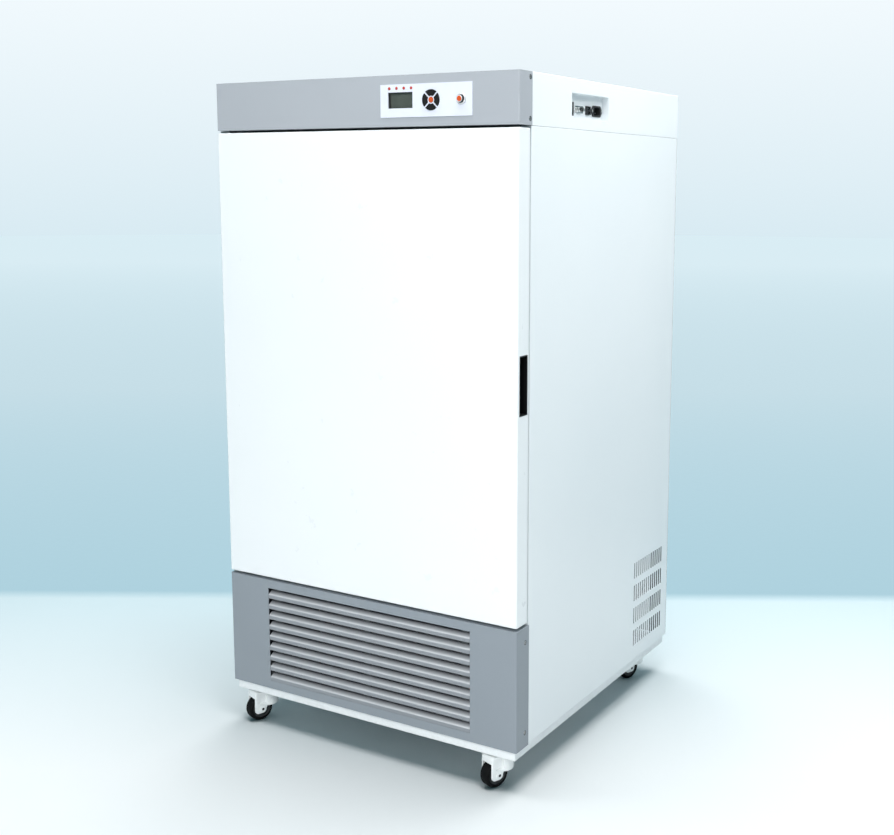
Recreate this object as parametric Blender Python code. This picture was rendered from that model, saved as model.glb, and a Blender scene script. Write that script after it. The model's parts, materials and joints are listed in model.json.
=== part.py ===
"""Refrigerated laboratory incubator on casters: a steel cabinet with one front door.

Metres, +Z up. The origin is on the floor under the middle of the object, the door faces -Y
and the side with the connector pocket is +X.
"""

import math

import bmesh
import bpy
from mathutils import Matrix, Vector

# Cabinet, outside sizes
WIDTH = 0.650
DEPTH = 0.665
HEIGHT = 1.244
CASTER_HEIGHT = 0.064
TRAY_HEIGHT = 0.018
LOWER_FASCIA_HEIGHT = 0.221
UPPER_FASCIA_HEIGHT = 0.086
GAP_BELOW_DOOR = 0.0055
GAP_ABOVE_DOOR = 0.0045

# Sheet metal and clearances
GAP = 0.0003
SHEET = 0.0012
TRAY_SHEET = 0.0020
TRAY_INSET = 0.006
PANEL_INSET = 0.0015
PANEL_FLANGE = 0.020
FASCIA_BEND = 0.003
FOLD_INSET = 0.0009

# Door
DOOR_INSET = 0.0005
DOOR_THICKNESS = 0.036
DOOR_LINER_SHEET = 0.0014
DOOR_TO_CABINET = 0.007
GASKET_WIDTH = 0.014
GASKET_FROM_MOUTH = 0.037
GASKET_FROM_MOUTH_ENDS = 0.0385
GRIP_HEIGHT = 0.103
GRIP_WIDTH = 0.0275
GRIP_DEPTH = 0.022
GRIP_WALL = 0.002
GRIP_FROM_FRONT = 0.0055
GRIP_ABOVE_DOOR_FOOT = 0.420

# Hinges, at the left edge of the door
HINGE_FROM_EDGE = 0.013
HINGE_FROM_FRONT = 0.018
HINGE_PIN_RADIUS = 0.004
HINGE_PIN_REACH = 0.013
HINGE_PIN_PLAY = 0.0003
HINGE_LEAF = 0.003
HINGE_LEAF_WIDTH = 0.022
HINGE_BACK_LEAF = 0.0015
HINGE_BACK_LEAF_HEIGHT = 0.028

# Chamber
SIDE_WALL = 0.070
REAR_WALL = 0.0888
CHAMBER_FLOOR_ABOVE_DOOR_FOOT = 0.060
CHAMBER_ROOF_BELOW_DOOR_TOP = 0.060
LINER_SHEET = 0.0010
LINER_FLANGE = 0.035
FRAME_THICKNESS = 0.0029
DECK_SHEET = 0.0012
LOWER_DECK_BELOW_DOOR_FOOT = 0.0115
UPPER_DECK_BELOW_SEAM = 0.0075
SHELF_HEIGHTS = (0.235, 0.470)
SHELF_FROM_MOUTH = 0.027
SHELF_THICKNESS = 0.004
SHELF_FRAME_WIDTH = 0.006
SHELF_BAR = 0.003
SHELF_BARS = 13
LEDGE_WIDTH = 0.012
LEDGE_THICKNESS = 0.006
SHELF_PLAY = 0.0015

# Air duct at the back of the chamber
DUCT_FROM_BACK = 0.088
DUCT_SHEET = 0.0012
DUCT_FLANGE = 0.020
DUCT_INLET = 0.040
DUCT_FAN_BELOW_ROOF = 0.110
DUCT_SLOTS = 5
DUCT_SLOT_WIDTH = 0.090
DUCT_SLOT_HEIGHT = 0.006
DUCT_SLOT_PITCH = 0.050
DUCT_SLOT_X = 0.126
EVAPORATOR_SIZE = (0.400, 0.052, 0.230)
EVAPORATOR_ABOVE_FLOOR = 0.080
EVAPORATOR_FINS = 20
FIN_THICKNESS = 0.004
FIN_ROOT = 0.006
PROBE_RADIUS = 0.003
PROBE_LENGTH = 0.060
PROBE_BRACKET = 0.014
PROBE_BELOW_ROOF = 0.060

# Fans
CHAMBER_FAN_SIZE = 0.150
CHAMBER_FAN_DEPTH = 0.038
CHAMBER_FAN_MOTOR = 0.01444
CONDENSER_FAN_SIZE = 0.176
CONDENSER_FAN_DEPTH = 0.040
CONDENSER_FAN_MOTOR = 0.0152
FAN_RIM = 0.006
FAN_TIP_PLAY = 0.003
FAN_HUB_RADIUS = 0.024
FAN_SPOKE = 0.006
FAN_SHAFT_RADIUS = 0.003
FAN_SHAFT_PLAY = 0.0003
FAN_BLADES = 5
FAN_BLADE_THICKNESS = 0.002
FAN_BLADE_PITCH = math.radians(32)
FAN_BLADE_FROM_HUB_END = 0.0009

# Machine compartment
CONDENSER_SIZE = (0.360, 0.048, 0.176)
CONDENSER_FINS = 20
CONDENSER_FROM_FRONT = 0.075
COMPRESSOR_RADIUS = 0.078
COMPRESSOR_HEIGHT = 0.170
COMPRESSOR_DOME = 0.043
COMPRESSOR_X = 0.090
COMPRESSOR_FROM_BACK = 0.215
COMPRESSOR_FOOT = 0.014
COMPRESSOR_FOOT_RADIUS = 0.0112
COMPRESSOR_FOOT_SPREAD = 0.0608
COMPRESSOR_PLATE = 0.148
COMPRESSOR_PLATE_UP = 0.0098
COMPRESSOR_PLATE_THICKNESS = 0.0098

# Air grille in the lower fascia
GRILLE_WIDTH = 0.460
GRILLE_HEIGHT = 0.1885
LOUVRES = 9
LOUVRE_SHEET = 0.0012
LOUVRE_LIP = 0.0060
LOUVRE_DEPTH = 0.0150
LOUVRE_RISE = 0.0125
STRAP_WIDTH = 0.016
STRAP_THICKNESS = 0.002
STRAP_LAP = 0.011

# Vents low on the right side
VENT_BLOCKS = 4
VENT_SLOTS = 14
VENT_FROM_BACK = 0.0340
VENT_BLOCK_LENGTH = 0.1405
VENT_SLOT_WIDTH = 0.0050
VENT_SLOT_HEIGHT = 0.034
VENT_BLOCK_PITCH = 0.0482
VENT_TOP_ABOVE_TRAY = 0.2095

# Control panel
PANEL_FROM_RIGHT = 0.1807
PLATE_WIDTH = 0.185
PLATE_HEIGHT = 0.055
PLATE_THICKNESS = 0.0010
LCD_WINDOW = (0.0503, 0.0267)
LCD_X = -0.0513
LCD_Z = 0.0009
LCD_BORDER = 0.006
LCD_BORDER_ENDS = 0.002
LCD_THICKNESS = 0.007
LAMP_COUNT = 4
LAMP_PITCH = 0.015
LAMP_Z = 0.0208
LAMP_RADIUS = 0.0021
LAMP_BAR = 0.0025
LAMP_PROUD = 0.0008
PAD_X = 0.0112
PAD_RADIUS = 0.0172
PAD_HOLE_RADIUS = 0.0070
PAD_CROSS = 0.0032
KEY_PROUD = 0.0014
KEY_LENGTH = 0.0095
OK_RADIUS = 0.0047
POWER_X = 0.0710
POWER_FLANGE_RADIUS = 0.0094
POWER_FLANGE = 0.0022
POWER_BARREL_RADIUS = 0.0078
POWER_BARREL = 0.024
POWER_BORE_RADIUS = 0.0060
POWER_CAP_RADIUS = 0.0056
POWER_CAP_PROUD = 0.0045
POWER_BORE_DEPTH = 0.012
POWER_CAP_LENGTH = 0.0125
BOARD_SIZE = (0.142, 0.0016, 0.058)
BOARD_X = -0.016
BOARD_CHIP_HEIGHT = 0.006
BOARD_CHIPS = (
    (-0.045, 0.0, 0.030, 0.030),
    (0.005, 0.012, 0.020, 0.016),
    (0.045, -0.010, 0.024, 0.012),
)

# Connector pocket in the right side of the top cover
POCKET_FROM_FRONT = 0.1865
POCKET_LENGTH = 0.1465
POCKET_HEIGHT = 0.044
POCKET_ABOVE_SEAM = 0.018
POCKET_DEPTH = 0.014
POCKET_FLANGE = 0.008
SOCKET_ROW_Z = 0.018
SWITCH_Y = 0.023
SERIAL_Y = 0.0525
SIGNAL_Y = 0.0875
INLET_Y = 0.1210
SOCKET_PLAY = 0.0003
SWITCH_BEZEL = (0.015, 0.024)
SWITCH_BODY = (0.0128, 0.0195)
SWITCH_WELL = (0.0108, 0.0176)
SWITCH_BEZEL_PROUD = 0.0015
SWITCH_BODY_DEPTH = 0.024
SWITCH_WELL_DEPTH = 0.0168
ROCKER_RADIUS = 0.0083
ROCKER_WIDTH = 0.0100
ROCKER_TILT = math.radians(12)
ROCKER_PIVOT_DEPTH = 0.0030
ROCKER_EDGE = 35
ROCKER_NOTCH = 0.0036
SERIAL_FLANGE = (0.0308, 0.0125)
SERIAL_SHELL = (0.0172, 0.0086)
SERIAL_SHELL_LENGTH = 0.0062
SERIAL_SHELL_WALL = 0.0008
SERIAL_SLANT = 0.18
SERIAL_BODY_DEPTH = 0.010
SIGNAL_SIZE = (0.0170, 0.0152)
SIGNAL_PROUD = 0.0030
SIGNAL_BODY_DEPTH = 0.012
SIGNAL_SLOT = (0.0090, 0.0050)
SIGNAL_SLOT_DEPTH = 0.008
INLET_FLANGE = (0.0440, 0.0200)
INLET_BODY = (0.0272, 0.0180)
INLET_MOUTH = (0.0236, 0.0145)
INLET_PROUD = 0.0030
INLET_MOUTH_DEPTH = 0.016
INLET_BODY_DEPTH = 0.020
INLET_CORNER = 0.004
INLET_PIN = (0.0022, 0.0042)
INLET_PIN_RECESS = 0.0065
INLET_PIN_SPREAD = 0.007

# Casters
CASTER_FROM_SIDE = 0.051
CASTER_FROM_FRONT = 0.038
CASTER_FROM_BACK = 0.064
CASTER_HEADING = math.radians(21)
WHEEL_RADIUS = 0.025
WHEEL_WIDTH = 0.022
WHEEL_SHOULDER = 0.0025
WHEEL_DISH = 0.0020
WHEEL_RIM = 0.019
WHEEL_BOSS = 0.008
AXLE_RADIUS = 0.004
AXLE_PLAY = 0.0003
TRAIL = 0.018
FORK_RADIUS = 0.021
FORK_WALL = 0.0026
FORK_CHEEK_PLAY = 0.0012
FORK_CROWN = 0.0072
FORK_BOSS = 0.0078
FORK_FRONT = 0.027
FORK_ARCH_FRONT = 0.0195
FORK_LIP = 0.0025
FORK_LIP_PROUD = 0.0018
FORK_AXLE_EYE = 0.0026
FORK_SKIRT_FOOT = 0.035
FORK_LEG_BACK = 0.0148
FORK_BOSS_PROUD = 0.00144
MOUNT_PLATE = 0.046
MOUNT_PLATE_THICKNESS = 0.0025
KINGPIN_RADIUS = 0.005
KINGPIN_HEAD_RADIUS = 0.009
KINGPIN_HEAD = 0.0020

ROUND = 24
FINE_ROUND = 32

# Levels and planes that follow from the sizes above
POWER_REACH = PLATE_THICKNESS + 2 * GAP + POWER_FLANGE + POWER_CAP_PROUD
FRONT = -(DEPTH - POWER_REACH) / 2
BACK = FRONT + DEPTH
TRAY_TOP = CASTER_HEIGHT + TRAY_HEIGHT
LOWER_FASCIA_TOP = TRAY_TOP + LOWER_FASCIA_HEIGHT
DOOR_FOOT = LOWER_FASCIA_TOP + GAP_BELOW_DOOR
TOP = HEIGHT
SEAM = TOP - UPPER_FASCIA_HEIGHT
DOOR_TOP = SEAM - GAP_ABOVE_DOOR
CABINET_FRONT = FRONT + DOOR_THICKNESS + DOOR_TO_CABINET
SIDE = WIDTH / 2 - PANEL_INSET
FLOOR_OF_CHAMBER = DOOR_FOOT + CHAMBER_FLOOR_ABOVE_DOOR_FOOT
ROOF_OF_CHAMBER = DOOR_TOP - CHAMBER_ROOF_BELOW_DOOR_TOP
LINER_FRONT = CABINET_FRONT + FRAME_THICKNESS + GAP
LINER_BACK = BACK - REAR_WALL
CHAMBER_WIDTH = WIDTH - 2 * SIDE_WALL
LOWER_DECK_TOP = DOOR_FOOT - LOWER_DECK_BELOW_DOOR_FOOT
UPPER_DECK_FOOT = SEAM - UPPER_DECK_BELOW_SEAM
DUCT_FRONT = LINER_BACK - DUCT_FROM_BACK
SHELF_FRONT = LINER_FRONT + SHELF_FROM_MOUTH
PANEL_CENTRE_X = WIDTH / 2 - PANEL_FROM_RIGHT
PANEL_CENTRE_Z = SEAM + UPPER_FASCIA_HEIGHT / 2
GRILLE_CENTRE_Z = TRAY_TOP + LOWER_FASCIA_HEIGHT / 2
HINGE_X = -WIDTH / 2 + HINGE_FROM_EDGE
HINGE_Y = FRONT + HINGE_FROM_FRONT
POCKET_FOOT = SEAM + POCKET_ABOVE_SEAM
POCKET_BACK_FACE = SIDE - POCKET_DEPTH
POCKET_START = FRONT + POCKET_FROM_FRONT
FASCIA_BACK = FRONT + SHEET
COMPARTMENT_FOOT = CASTER_HEIGHT + TRAY_SHEET + GAP
CASTER_CROWN = CASTER_HEIGHT - MOUNT_PLATE_THICKNESS - 2 * GAP


def material(name, colour, roughness, metallic=0.0):
    made = bpy.data.materials.new(name)
    made.use_nodes = True
    shader = made.node_tree.nodes["Principled BSDF"]
    shader.inputs["Base Color"].default_value = (*colour, 1.0)
    shader.inputs["Roughness"].default_value = roughness
    shader.inputs["Metallic"].default_value = metallic
    return made


def clear_scene():
    for item in list(bpy.data.objects):
        bpy.data.objects.remove(item)


def add_box(bm, low, high):
    """A box between two corners, faces outward."""
    size = Vector(high) - Vector(low)
    centre = (Vector(high) + Vector(low)) / 2
    made = bmesh.ops.create_cube(bm, size=1.0)["verts"]
    bmesh.ops.scale(bm, vec=size, verts=made)
    bmesh.ops.translate(bm, vec=centre, verts=made)


def add_prism(bm, outline, start, end, place):
    """An outline of (u, v) points swept from start to end; place turns (u, v, w) into a corner."""
    rings = [[bm.verts.new(place(u, v, w)) for u, v in outline] for w in (start, end)]
    caps = [bm.faces.new(rings[0][::-1]), bm.faces.new(rings[1])]
    count = len(outline)
    sides = [
        bm.faces.new((rings[0][i], rings[0][(i + 1) % count], rings[1][(i + 1) % count], rings[1][i]))
        for i in range(count)
    ]
    made = caps + sides
    if sum(face.calc_center_median().dot(face.normal) for face in refreshed(made)) < 0:
        bmesh.ops.reverse_faces(bm, faces=made)
    bmesh.ops.recalc_face_normals(bm, faces=made)


def refreshed(faces):
    for face in faces:
        face.normal_update()
    return faces


def along_x(u, v, w):
    return (w, u, v)


def along_y(u, v, w):
    return (u, w, v)


def along_z(u, v, w):
    return (u, v, w)


def arc(centre, radius, start, end, steps):
    """Points of an arc in degrees, both ends included."""
    return [
        (
            centre[0] + radius * math.cos(math.radians(start + (end - start) * i / steps)),
            centre[1] + radius * math.sin(math.radians(start + (end - start) * i / steps)),
        )
        for i in range(steps + 1)
    ]


def circle(centre, radius, steps=ROUND):
    return arc(centre, radius, 0, 360 * (steps - 1) / steps, steps - 1)


def rectangle(width, height, centre=(0.0, 0.0)):
    u, v = centre
    return [
        (u - width / 2, v - height / 2),
        (u + width / 2, v - height / 2),
        (u + width / 2, v + height / 2),
        (u - width / 2, v + height / 2),
    ]


def add_turned(bm, profile, steps, place):
    """A closed (radius, height) profile turned about the local Z axis; place moves each corner."""
    rings = []
    for i in range(steps):
        angle = 2 * math.pi * i / steps
        rings.append(
            [bm.verts.new(place(r * math.cos(angle), r * math.sin(angle), h)) for r, h in profile]
        )
    count = len(profile)
    faces = []
    for i in range(steps):
        near, far = rings[i], rings[(i + 1) % steps]
        for k in range(count):
            after = (k + 1) % count
            faces.append(bm.faces.new((near[k], far[k], far[after], near[after])))
    bmesh.ops.remove_doubles(bm, verts=[v for ring in rings for v in ring], dist=1e-7)
    bmesh.ops.recalc_face_normals(bm, faces=[face for face in faces if face.is_valid])


def finish(name, bm, look=None, parent=None, smooth=False):
    mesh = bpy.data.meshes.new(name)
    bm.to_mesh(mesh)
    bm.free()
    made = bpy.data.objects.new(name, mesh)
    bpy.context.scene.collection.objects.link(made)
    if look:
        mesh.materials.append(look)
    if smooth:
        mesh.shade_smooth()
        mesh.set_sharp_from_angle(angle=math.radians(35))
    if parent:
        made.parent = parent
        made.matrix_parent_inverse = parent.matrix_world.inverted()
    return made


def helper(name, fill):
    """A hidden mesh for a Boolean, filled by a function."""
    bm = bmesh.new()
    fill(bm)
    made = finish(name, bm)
    made.hide_render = True
    made.display_type = "WIRE"
    return made


def boolean(target, other, operation):
    step = target.modifiers.new(other.name, "BOOLEAN")
    step.operation = operation
    step.solver = "EXACT"
    step.object = other


def cut(target, name, fill):
    boolean(target, helper(name, fill), "DIFFERENCE")


def unite(target, name, fill):
    boolean(target, helper(name, fill), "UNION")


def plain_box(name, low, high, look, parent=None):
    bm = bmesh.new()
    add_box(bm, low, high)
    return finish(name, bm, look, parent)


def add_pan(bm, low, high, sheet, open_axis, open_high):
    """A folded pan: a box of sheet with one open side, as one closed surface."""
    add_box(bm, low, high)
    outer = list(bm.faces)[-6:]
    normal = Vector((0, 0, 0))
    normal[open_axis] = 1.0 if open_high else -1.0
    mouth = max(refreshed(outer), key=lambda face: face.normal.dot(normal))
    inner_low = [value + sheet for value in low]
    inner_high = [value - sheet for value in high]
    if open_high:
        inner_high[open_axis] = high[open_axis]
    else:
        inner_low[open_axis] = low[open_axis]
    add_box(bm, inner_low, inner_high)
    inner = list(bm.faces)[-6:]
    inner_mouth = max(refreshed(inner), key=lambda face: face.normal.dot(normal))
    edges = list(mouth.edges) + list(inner_mouth.edges)
    bmesh.ops.reverse_faces(bm, faces=[face for face in inner if face != inner_mouth])
    bmesh.ops.delete(bm, geom=[mouth, inner_mouth], context="FACES_ONLY")
    bmesh.ops.bridge_loops(bm, edges=edges)


def pan(name, low, high, sheet, open_axis, open_high, look, parent=None):
    bm = bmesh.new()
    add_pan(bm, low, high, sheet, open_axis, open_high)
    bmesh.ops.recalc_face_normals(bm, faces=bm.faces)
    return finish(name, bm, look, parent)


def axis_empty(name, place):
    made = bpy.data.objects.new(name, None)
    made.location = place
    bpy.context.scene.collection.objects.link(made)
    bpy.context.view_layer.update()
    return made


# Outer shell

def base_tray():
    made = pan(
        "base_tray",
        (-WIDTH / 2 + TRAY_INSET, FRONT + TRAY_INSET, CASTER_HEIGHT),
        (WIDTH / 2 - TRAY_INSET, BACK - TRAY_INSET, TRAY_TOP),
        TRAY_SHEET, 2, True, WHITE,
    )
    return made


def vent_slots(bm):
    pitch = (VENT_BLOCK_LENGTH - VENT_SLOT_WIDTH) / (VENT_SLOTS - 1)
    first = BACK - VENT_FROM_BACK - VENT_BLOCK_LENGTH
    for block in range(VENT_BLOCKS):
        top = TRAY_TOP + VENT_TOP_ABOVE_TRAY - block * VENT_BLOCK_PITCH
        for slot in range(VENT_SLOTS):
            start = first + slot * pitch
            add_box(
                bm,
                (SIDE - 2 * SHEET, start, top - VENT_SLOT_HEIGHT),
                (SIDE + SHEET, start + VENT_SLOT_WIDTH, top),
            )


def side_panels():
    back = BACK - SHEET - GAP
    for name, sign in (("side_panel_left", -1), ("side_panel_right", 1)):
        low_x, high_x = sorted((sign * SIDE, sign * (SIDE - PANEL_FLANGE)))
        made = pan(
            name,
            (low_x, CABINET_FRONT, TRAY_TOP + GAP),
            (high_x, back, SEAM - GAP),
            SHEET, 0, sign < 0, WHITE,
        )
        if sign > 0:
            cut(made, "side_vent_cutter", vent_slots)


def rear_panel():
    plain_box(
        "rear_panel",
        (-SIDE, BACK - SHEET, TRAY_TOP + GAP),
        (SIDE, BACK, SEAM - GAP),
        WHITE,
    )


def pocket_opening(bm):
    add_box(
        bm,
        (SIDE - 2 * SHEET, POCKET_START, POCKET_FOOT),
        (SIDE + SHEET, POCKET_START + POCKET_LENGTH, POCKET_FOOT + POCKET_HEIGHT),
    )


def top_cover():
    front = FRONT + FASCIA_BEND
    made = pan("top_cover", (-SIDE, front, SEAM), (SIDE, BACK, TOP), SHEET, 2, False, WHITE)

    def open_front(bm):
        add_box(
            bm,
            (-SIDE + SHEET, front - SHEET, SEAM - SHEET),
            (SIDE - SHEET, front + 2 * SHEET, TOP - SHEET),
        )

    def fascia_return(bm):
        add_box(
            bm,
            (-WIDTH / 2, front - SHEET, SEAM - SHEET),
            (WIDTH / 2, CABINET_FRONT, SEAM + SHEET + GAP),
        )

    cut(made, "cover_front_cutter", open_front)
    cut(made, "cover_return_cutter", fascia_return)
    cut(made, "cover_pocket_cutter", pocket_opening)


def fascia_outline():
    """The folded U of a fascia in plan, with round bends."""
    half = WIDTH / 2
    back = CABINET_FRONT - GAP
    bend = FASCIA_BEND
    inner = bend - SHEET
    outer_path = [(-half, back)]
    outer_path += arc((-half + bend, FRONT + bend), bend, 180, 270, 3)
    outer_path += arc((half - bend, FRONT + bend), bend, 270, 360, 3)
    outer_path += [(half, back)]
    inner_path = [(half - SHEET, back)]
    inner_path += arc((half - bend, FRONT + bend), inner, 360, 270, 3)
    inner_path += arc((-half + bend, FRONT + bend), inner, 270, 180, 3)
    inner_path += [(-half + SHEET, back)]
    return outer_path + inner_path


def fascia(name, foot, top, returns):
    """A fascia folded back at both sides and, at the levels in returns, above or below."""
    bm = bmesh.new()
    add_prism(bm, fascia_outline(), foot, top, along_z)
    bmesh.ops.recalc_face_normals(bm, faces=bm.faces)
    made = finish(name, bm, GREY)
    for index, level in enumerate(returns):

        def fold(bm, level=level):
            add_box(
                bm,
                (-WIDTH / 2 + FOLD_INSET, FRONT + FOLD_INSET, level),
                (WIDTH / 2 - FOLD_INSET, CABINET_FRONT - GAP, level + SHEET),
            )

        unite(made, f"{name}_return_{index}", fold)
    return made


def control_holes(bm):
    """Every hole that the control plate and the fascia behind it share."""
    start, end = FRONT - 2 * PLATE_THICKNESS, FRONT + 2 * SHEET
    x, z = PANEL_CENTRE_X, PANEL_CENTRE_Z
    window = rectangle(*LCD_WINDOW, centre=(x + LCD_X, z + LCD_Z))
    add_prism(bm, window, start, end, along_y)
    for i in range(LAMP_COUNT):
        centre = (x + lamp_x(i), z + LAMP_Z)
        add_prism(bm, circle(centre, LAMP_RADIUS + GAP, 12), start, end, along_y)
    for turn in range(4):
        add_prism(bm, key_outline(turn, GAP), start, end, along_y)
    pad = (x + PAD_X, z)
    add_prism(bm, circle(pad, OK_RADIUS + GAP, 16), start, end, along_y)
    power = (x + POWER_X, z)
    add_prism(bm, circle(power, POWER_BARREL_RADIUS + GAP), start, end, along_y)


def lamp_x(i):
    return LCD_X + (i - (LAMP_COUNT - 1) / 2) * LAMP_PITCH


def key_outline(turn, play=0.0):
    """One quarter of the ring of arrow keys, with sides parallel to the cross between them."""
    middle = 90 * turn
    half_cross = PAD_CROSS / 2 - play
    outer, inner = PAD_RADIUS + play, PAD_HOLE_RADIUS - play
    outer_half = 45 - math.degrees(math.asin(half_cross / outer))
    inner_half = 45 - math.degrees(math.asin(half_cross / inner))
    centre = (PANEL_CENTRE_X + PAD_X, PANEL_CENTRE_Z)
    return arc(centre, outer, middle - outer_half, middle + outer_half, 6) + arc(
        centre, inner, middle + inner_half, middle - inner_half, 3
    )


def fascias():
    upper = fascia("upper_fascia", SEAM, TOP, [SEAM])
    boolean(upper, control_cutter, "DIFFERENCE")
    returns = [TRAY_TOP + GAP, LOWER_FASCIA_TOP - SHEET]
    lower = fascia("lower_fascia", TRAY_TOP + GAP, LOWER_FASCIA_TOP, returns)

    def grille_opening(bm):
        add_box(
            bm,
            (-GRILLE_WIDTH / 2, FRONT - SHEET, GRILLE_CENTRE_Z - GRILLE_HEIGHT / 2),
            (GRILLE_WIDTH / 2, FRONT + 2 * SHEET, GRILLE_CENTRE_Z + GRILLE_HEIGHT / 2),
        )

    cut(lower, "grille_cutter", grille_opening)


def air_grille():
    """Sloping louvres with a lip at the front, tied together by straps behind the fascia."""
    pitch = GRILLE_HEIGHT / LOUVRES
    half = GRILLE_WIDTH / 2 - GAP
    foot = GRILLE_CENTRE_Z - GRILLE_HEIGHT / 2
    bm = bmesh.new()
    strap_front = FRONT + LOUVRE_DEPTH - LOUVRE_SHEET
    strap_back = strap_front + STRAP_THICKNESS
    reach = GRILLE_HEIGHT / 2 + STRAP_LAP
    add_box(
        bm,
        (-STRAP_WIDTH / 2, strap_front, GRILLE_CENTRE_Z - reach),
        (STRAP_WIDTH / 2, strap_back, GRILLE_CENTRE_Z + reach),
    )
    made = finish("air_grille", bm, GREY)

    def louvres(bm):
        for i in range(LOUVRES):
            z = foot + i * pitch + GAP
            outline = [
                (FRONT, z),
                (FRONT + LOUVRE_SHEET, z),
                (FRONT + LOUVRE_SHEET, z + LOUVRE_LIP - LOUVRE_SHEET),
                (FRONT + LOUVRE_DEPTH, z + LOUVRE_LIP + LOUVRE_RISE - LOUVRE_SHEET),
                (FRONT + LOUVRE_DEPTH, z + LOUVRE_LIP + LOUVRE_RISE),
                (FRONT, z + LOUVRE_LIP),
            ]
            add_prism(bm, outline, -half, half, along_x)

    def side_straps(bm):
        for sign in (-1, 1):
            centre = sign * (half - STRAP_WIDTH)
            add_box(
                bm,
                (centre - STRAP_WIDTH / 2, strap_front, GRILLE_CENTRE_Z - reach),
                (centre + STRAP_WIDTH / 2, strap_back, GRILLE_CENTRE_Z + reach),
            )

    def strap_feet(bm):
        for x in (-half + STRAP_WIDTH, 0, half - STRAP_WIDTH):
            for sign in (-1, 1):
                end = GRILLE_CENTRE_Z + sign * reach
                near = GRILLE_CENTRE_Z + sign * (reach - STRAP_THICKNESS)
                add_box(
                    bm,
                    (x - STRAP_WIDTH / 2, FASCIA_BACK + GAP, min(end, near)),
                    (x + STRAP_WIDTH / 2, strap_back, max(end, near)),
                )

    unite(made, "louvre_blades", louvres)
    unite(made, "louvre_side_straps", side_straps)
    unite(made, "louvre_strap_feet", strap_feet)


# Insulated chamber

def lower_deck():
    plain_box(
        "lower_deck",
        (-SIDE + SHEET + GAP, LINER_FRONT, LOWER_DECK_TOP - DECK_SHEET),
        (SIDE - SHEET - GAP, BACK - 2 * SHEET - 2 * GAP, LOWER_DECK_TOP),
        ZINC,
    )


def upper_deck():
    plain_box(
        "upper_deck",
        (-SIDE + SHEET + GAP, LINER_FRONT, UPPER_DECK_FOOT),
        (SIDE - SHEET - GAP, BACK - 2 * SHEET - 2 * GAP, UPPER_DECK_FOOT + DECK_SHEET),
        ZINC,
    )


def insulation():
    front = LINER_FRONT + LINER_SHEET + GAP
    made = plain_box(
        "insulation",
        (-SIDE + SHEET + GAP, front, LOWER_DECK_TOP + GAP),
        (SIDE - SHEET - GAP, BACK - 2 * SHEET - 2 * GAP, UPPER_DECK_FOOT - GAP),
        FOAM,
    )
    wall = LINER_SHEET + GAP

    def cavity(bm):
        add_box(
            bm,
            (-CHAMBER_WIDTH / 2 - wall, front - SHEET, FLOOR_OF_CHAMBER - wall),
            (CHAMBER_WIDTH / 2 + wall, LINER_BACK + wall, ROOF_OF_CHAMBER + wall),
        )

    cut(made, "cavity_cutter", cavity)


def inner_liner():
    """The stainless chamber: a deep pan, flanged at its mouth, with a pressed ledge for each shelf end."""
    sheet = LINER_SHEET
    made = pan(
        "inner_liner",
        (-CHAMBER_WIDTH / 2 - sheet, LINER_FRONT, FLOOR_OF_CHAMBER - sheet),
        (CHAMBER_WIDTH / 2 + sheet, LINER_BACK + sheet, ROOF_OF_CHAMBER + sheet),
        sheet, 1, False, STEEL,
    )

    def ledges(bm):
        for height in SHELF_HEIGHTS:
            top = FLOOR_OF_CHAMBER + height - GAP
            for sign in (-1, 1):
                inner, outer = sorted(
                    (sign * (CHAMBER_WIDTH / 2 - LEDGE_WIDTH), sign * (CHAMBER_WIDTH / 2 + sheet / 2))
                )
                add_box(bm, (inner, SHELF_FRONT, top - LEDGE_THICKNESS), (outer, DUCT_FRONT - SHEET, top))

    for index, (x0, z0, x1, z1) in enumerate(flange_strips()):
        def strip(bm, x0=x0, z0=z0, x1=x1, z1=z1):
            add_box(bm, (x0, LINER_FRONT, z0), (x1, LINER_FRONT + sheet, z1))

        unite(made, f"liner_flange_{index}", strip)
    unite(made, "shelf_ledges", ledges)


def flange_strips():
    """(x0, z0, x1, z1) of the four strips round the liner's mouth, overlapping at the corners."""
    half = CHAMBER_WIDTH / 2
    near = LINER_SHEET / 2
    low, high = FLOOR_OF_CHAMBER, ROOF_OF_CHAMBER
    reach = LINER_FLANGE
    return (
        (-half - reach, low - reach, -half - near, high + reach),
        (half + near, low - reach, half + reach, high + reach),
        (-half - reach, low - reach, half + reach, low - near),
        (-half - reach, high + near, half + reach, high + reach),
    )


def front_frame():
    outer = SIDE - PANEL_FLANGE - GAP
    made = plain_box(
        "front_frame",
        (-outer, CABINET_FRONT, LOWER_FASCIA_TOP + GAP),
        (outer, CABINET_FRONT + FRAME_THICKNESS, SEAM - 2 * SHEET),
        PALE_PLASTIC,
    )
    lap = LINER_SHEET

    def mouth(bm):
        add_box(
            bm,
            (-CHAMBER_WIDTH / 2 - lap, CABINET_FRONT - SHEET, FLOOR_OF_CHAMBER - lap),
            (CHAMBER_WIDTH / 2 + lap, CABINET_FRONT + 2 * FRAME_THICKNESS, ROOF_OF_CHAMBER + lap),
        )

    cut(made, "frame_mouth_cutter", mouth)


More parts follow.
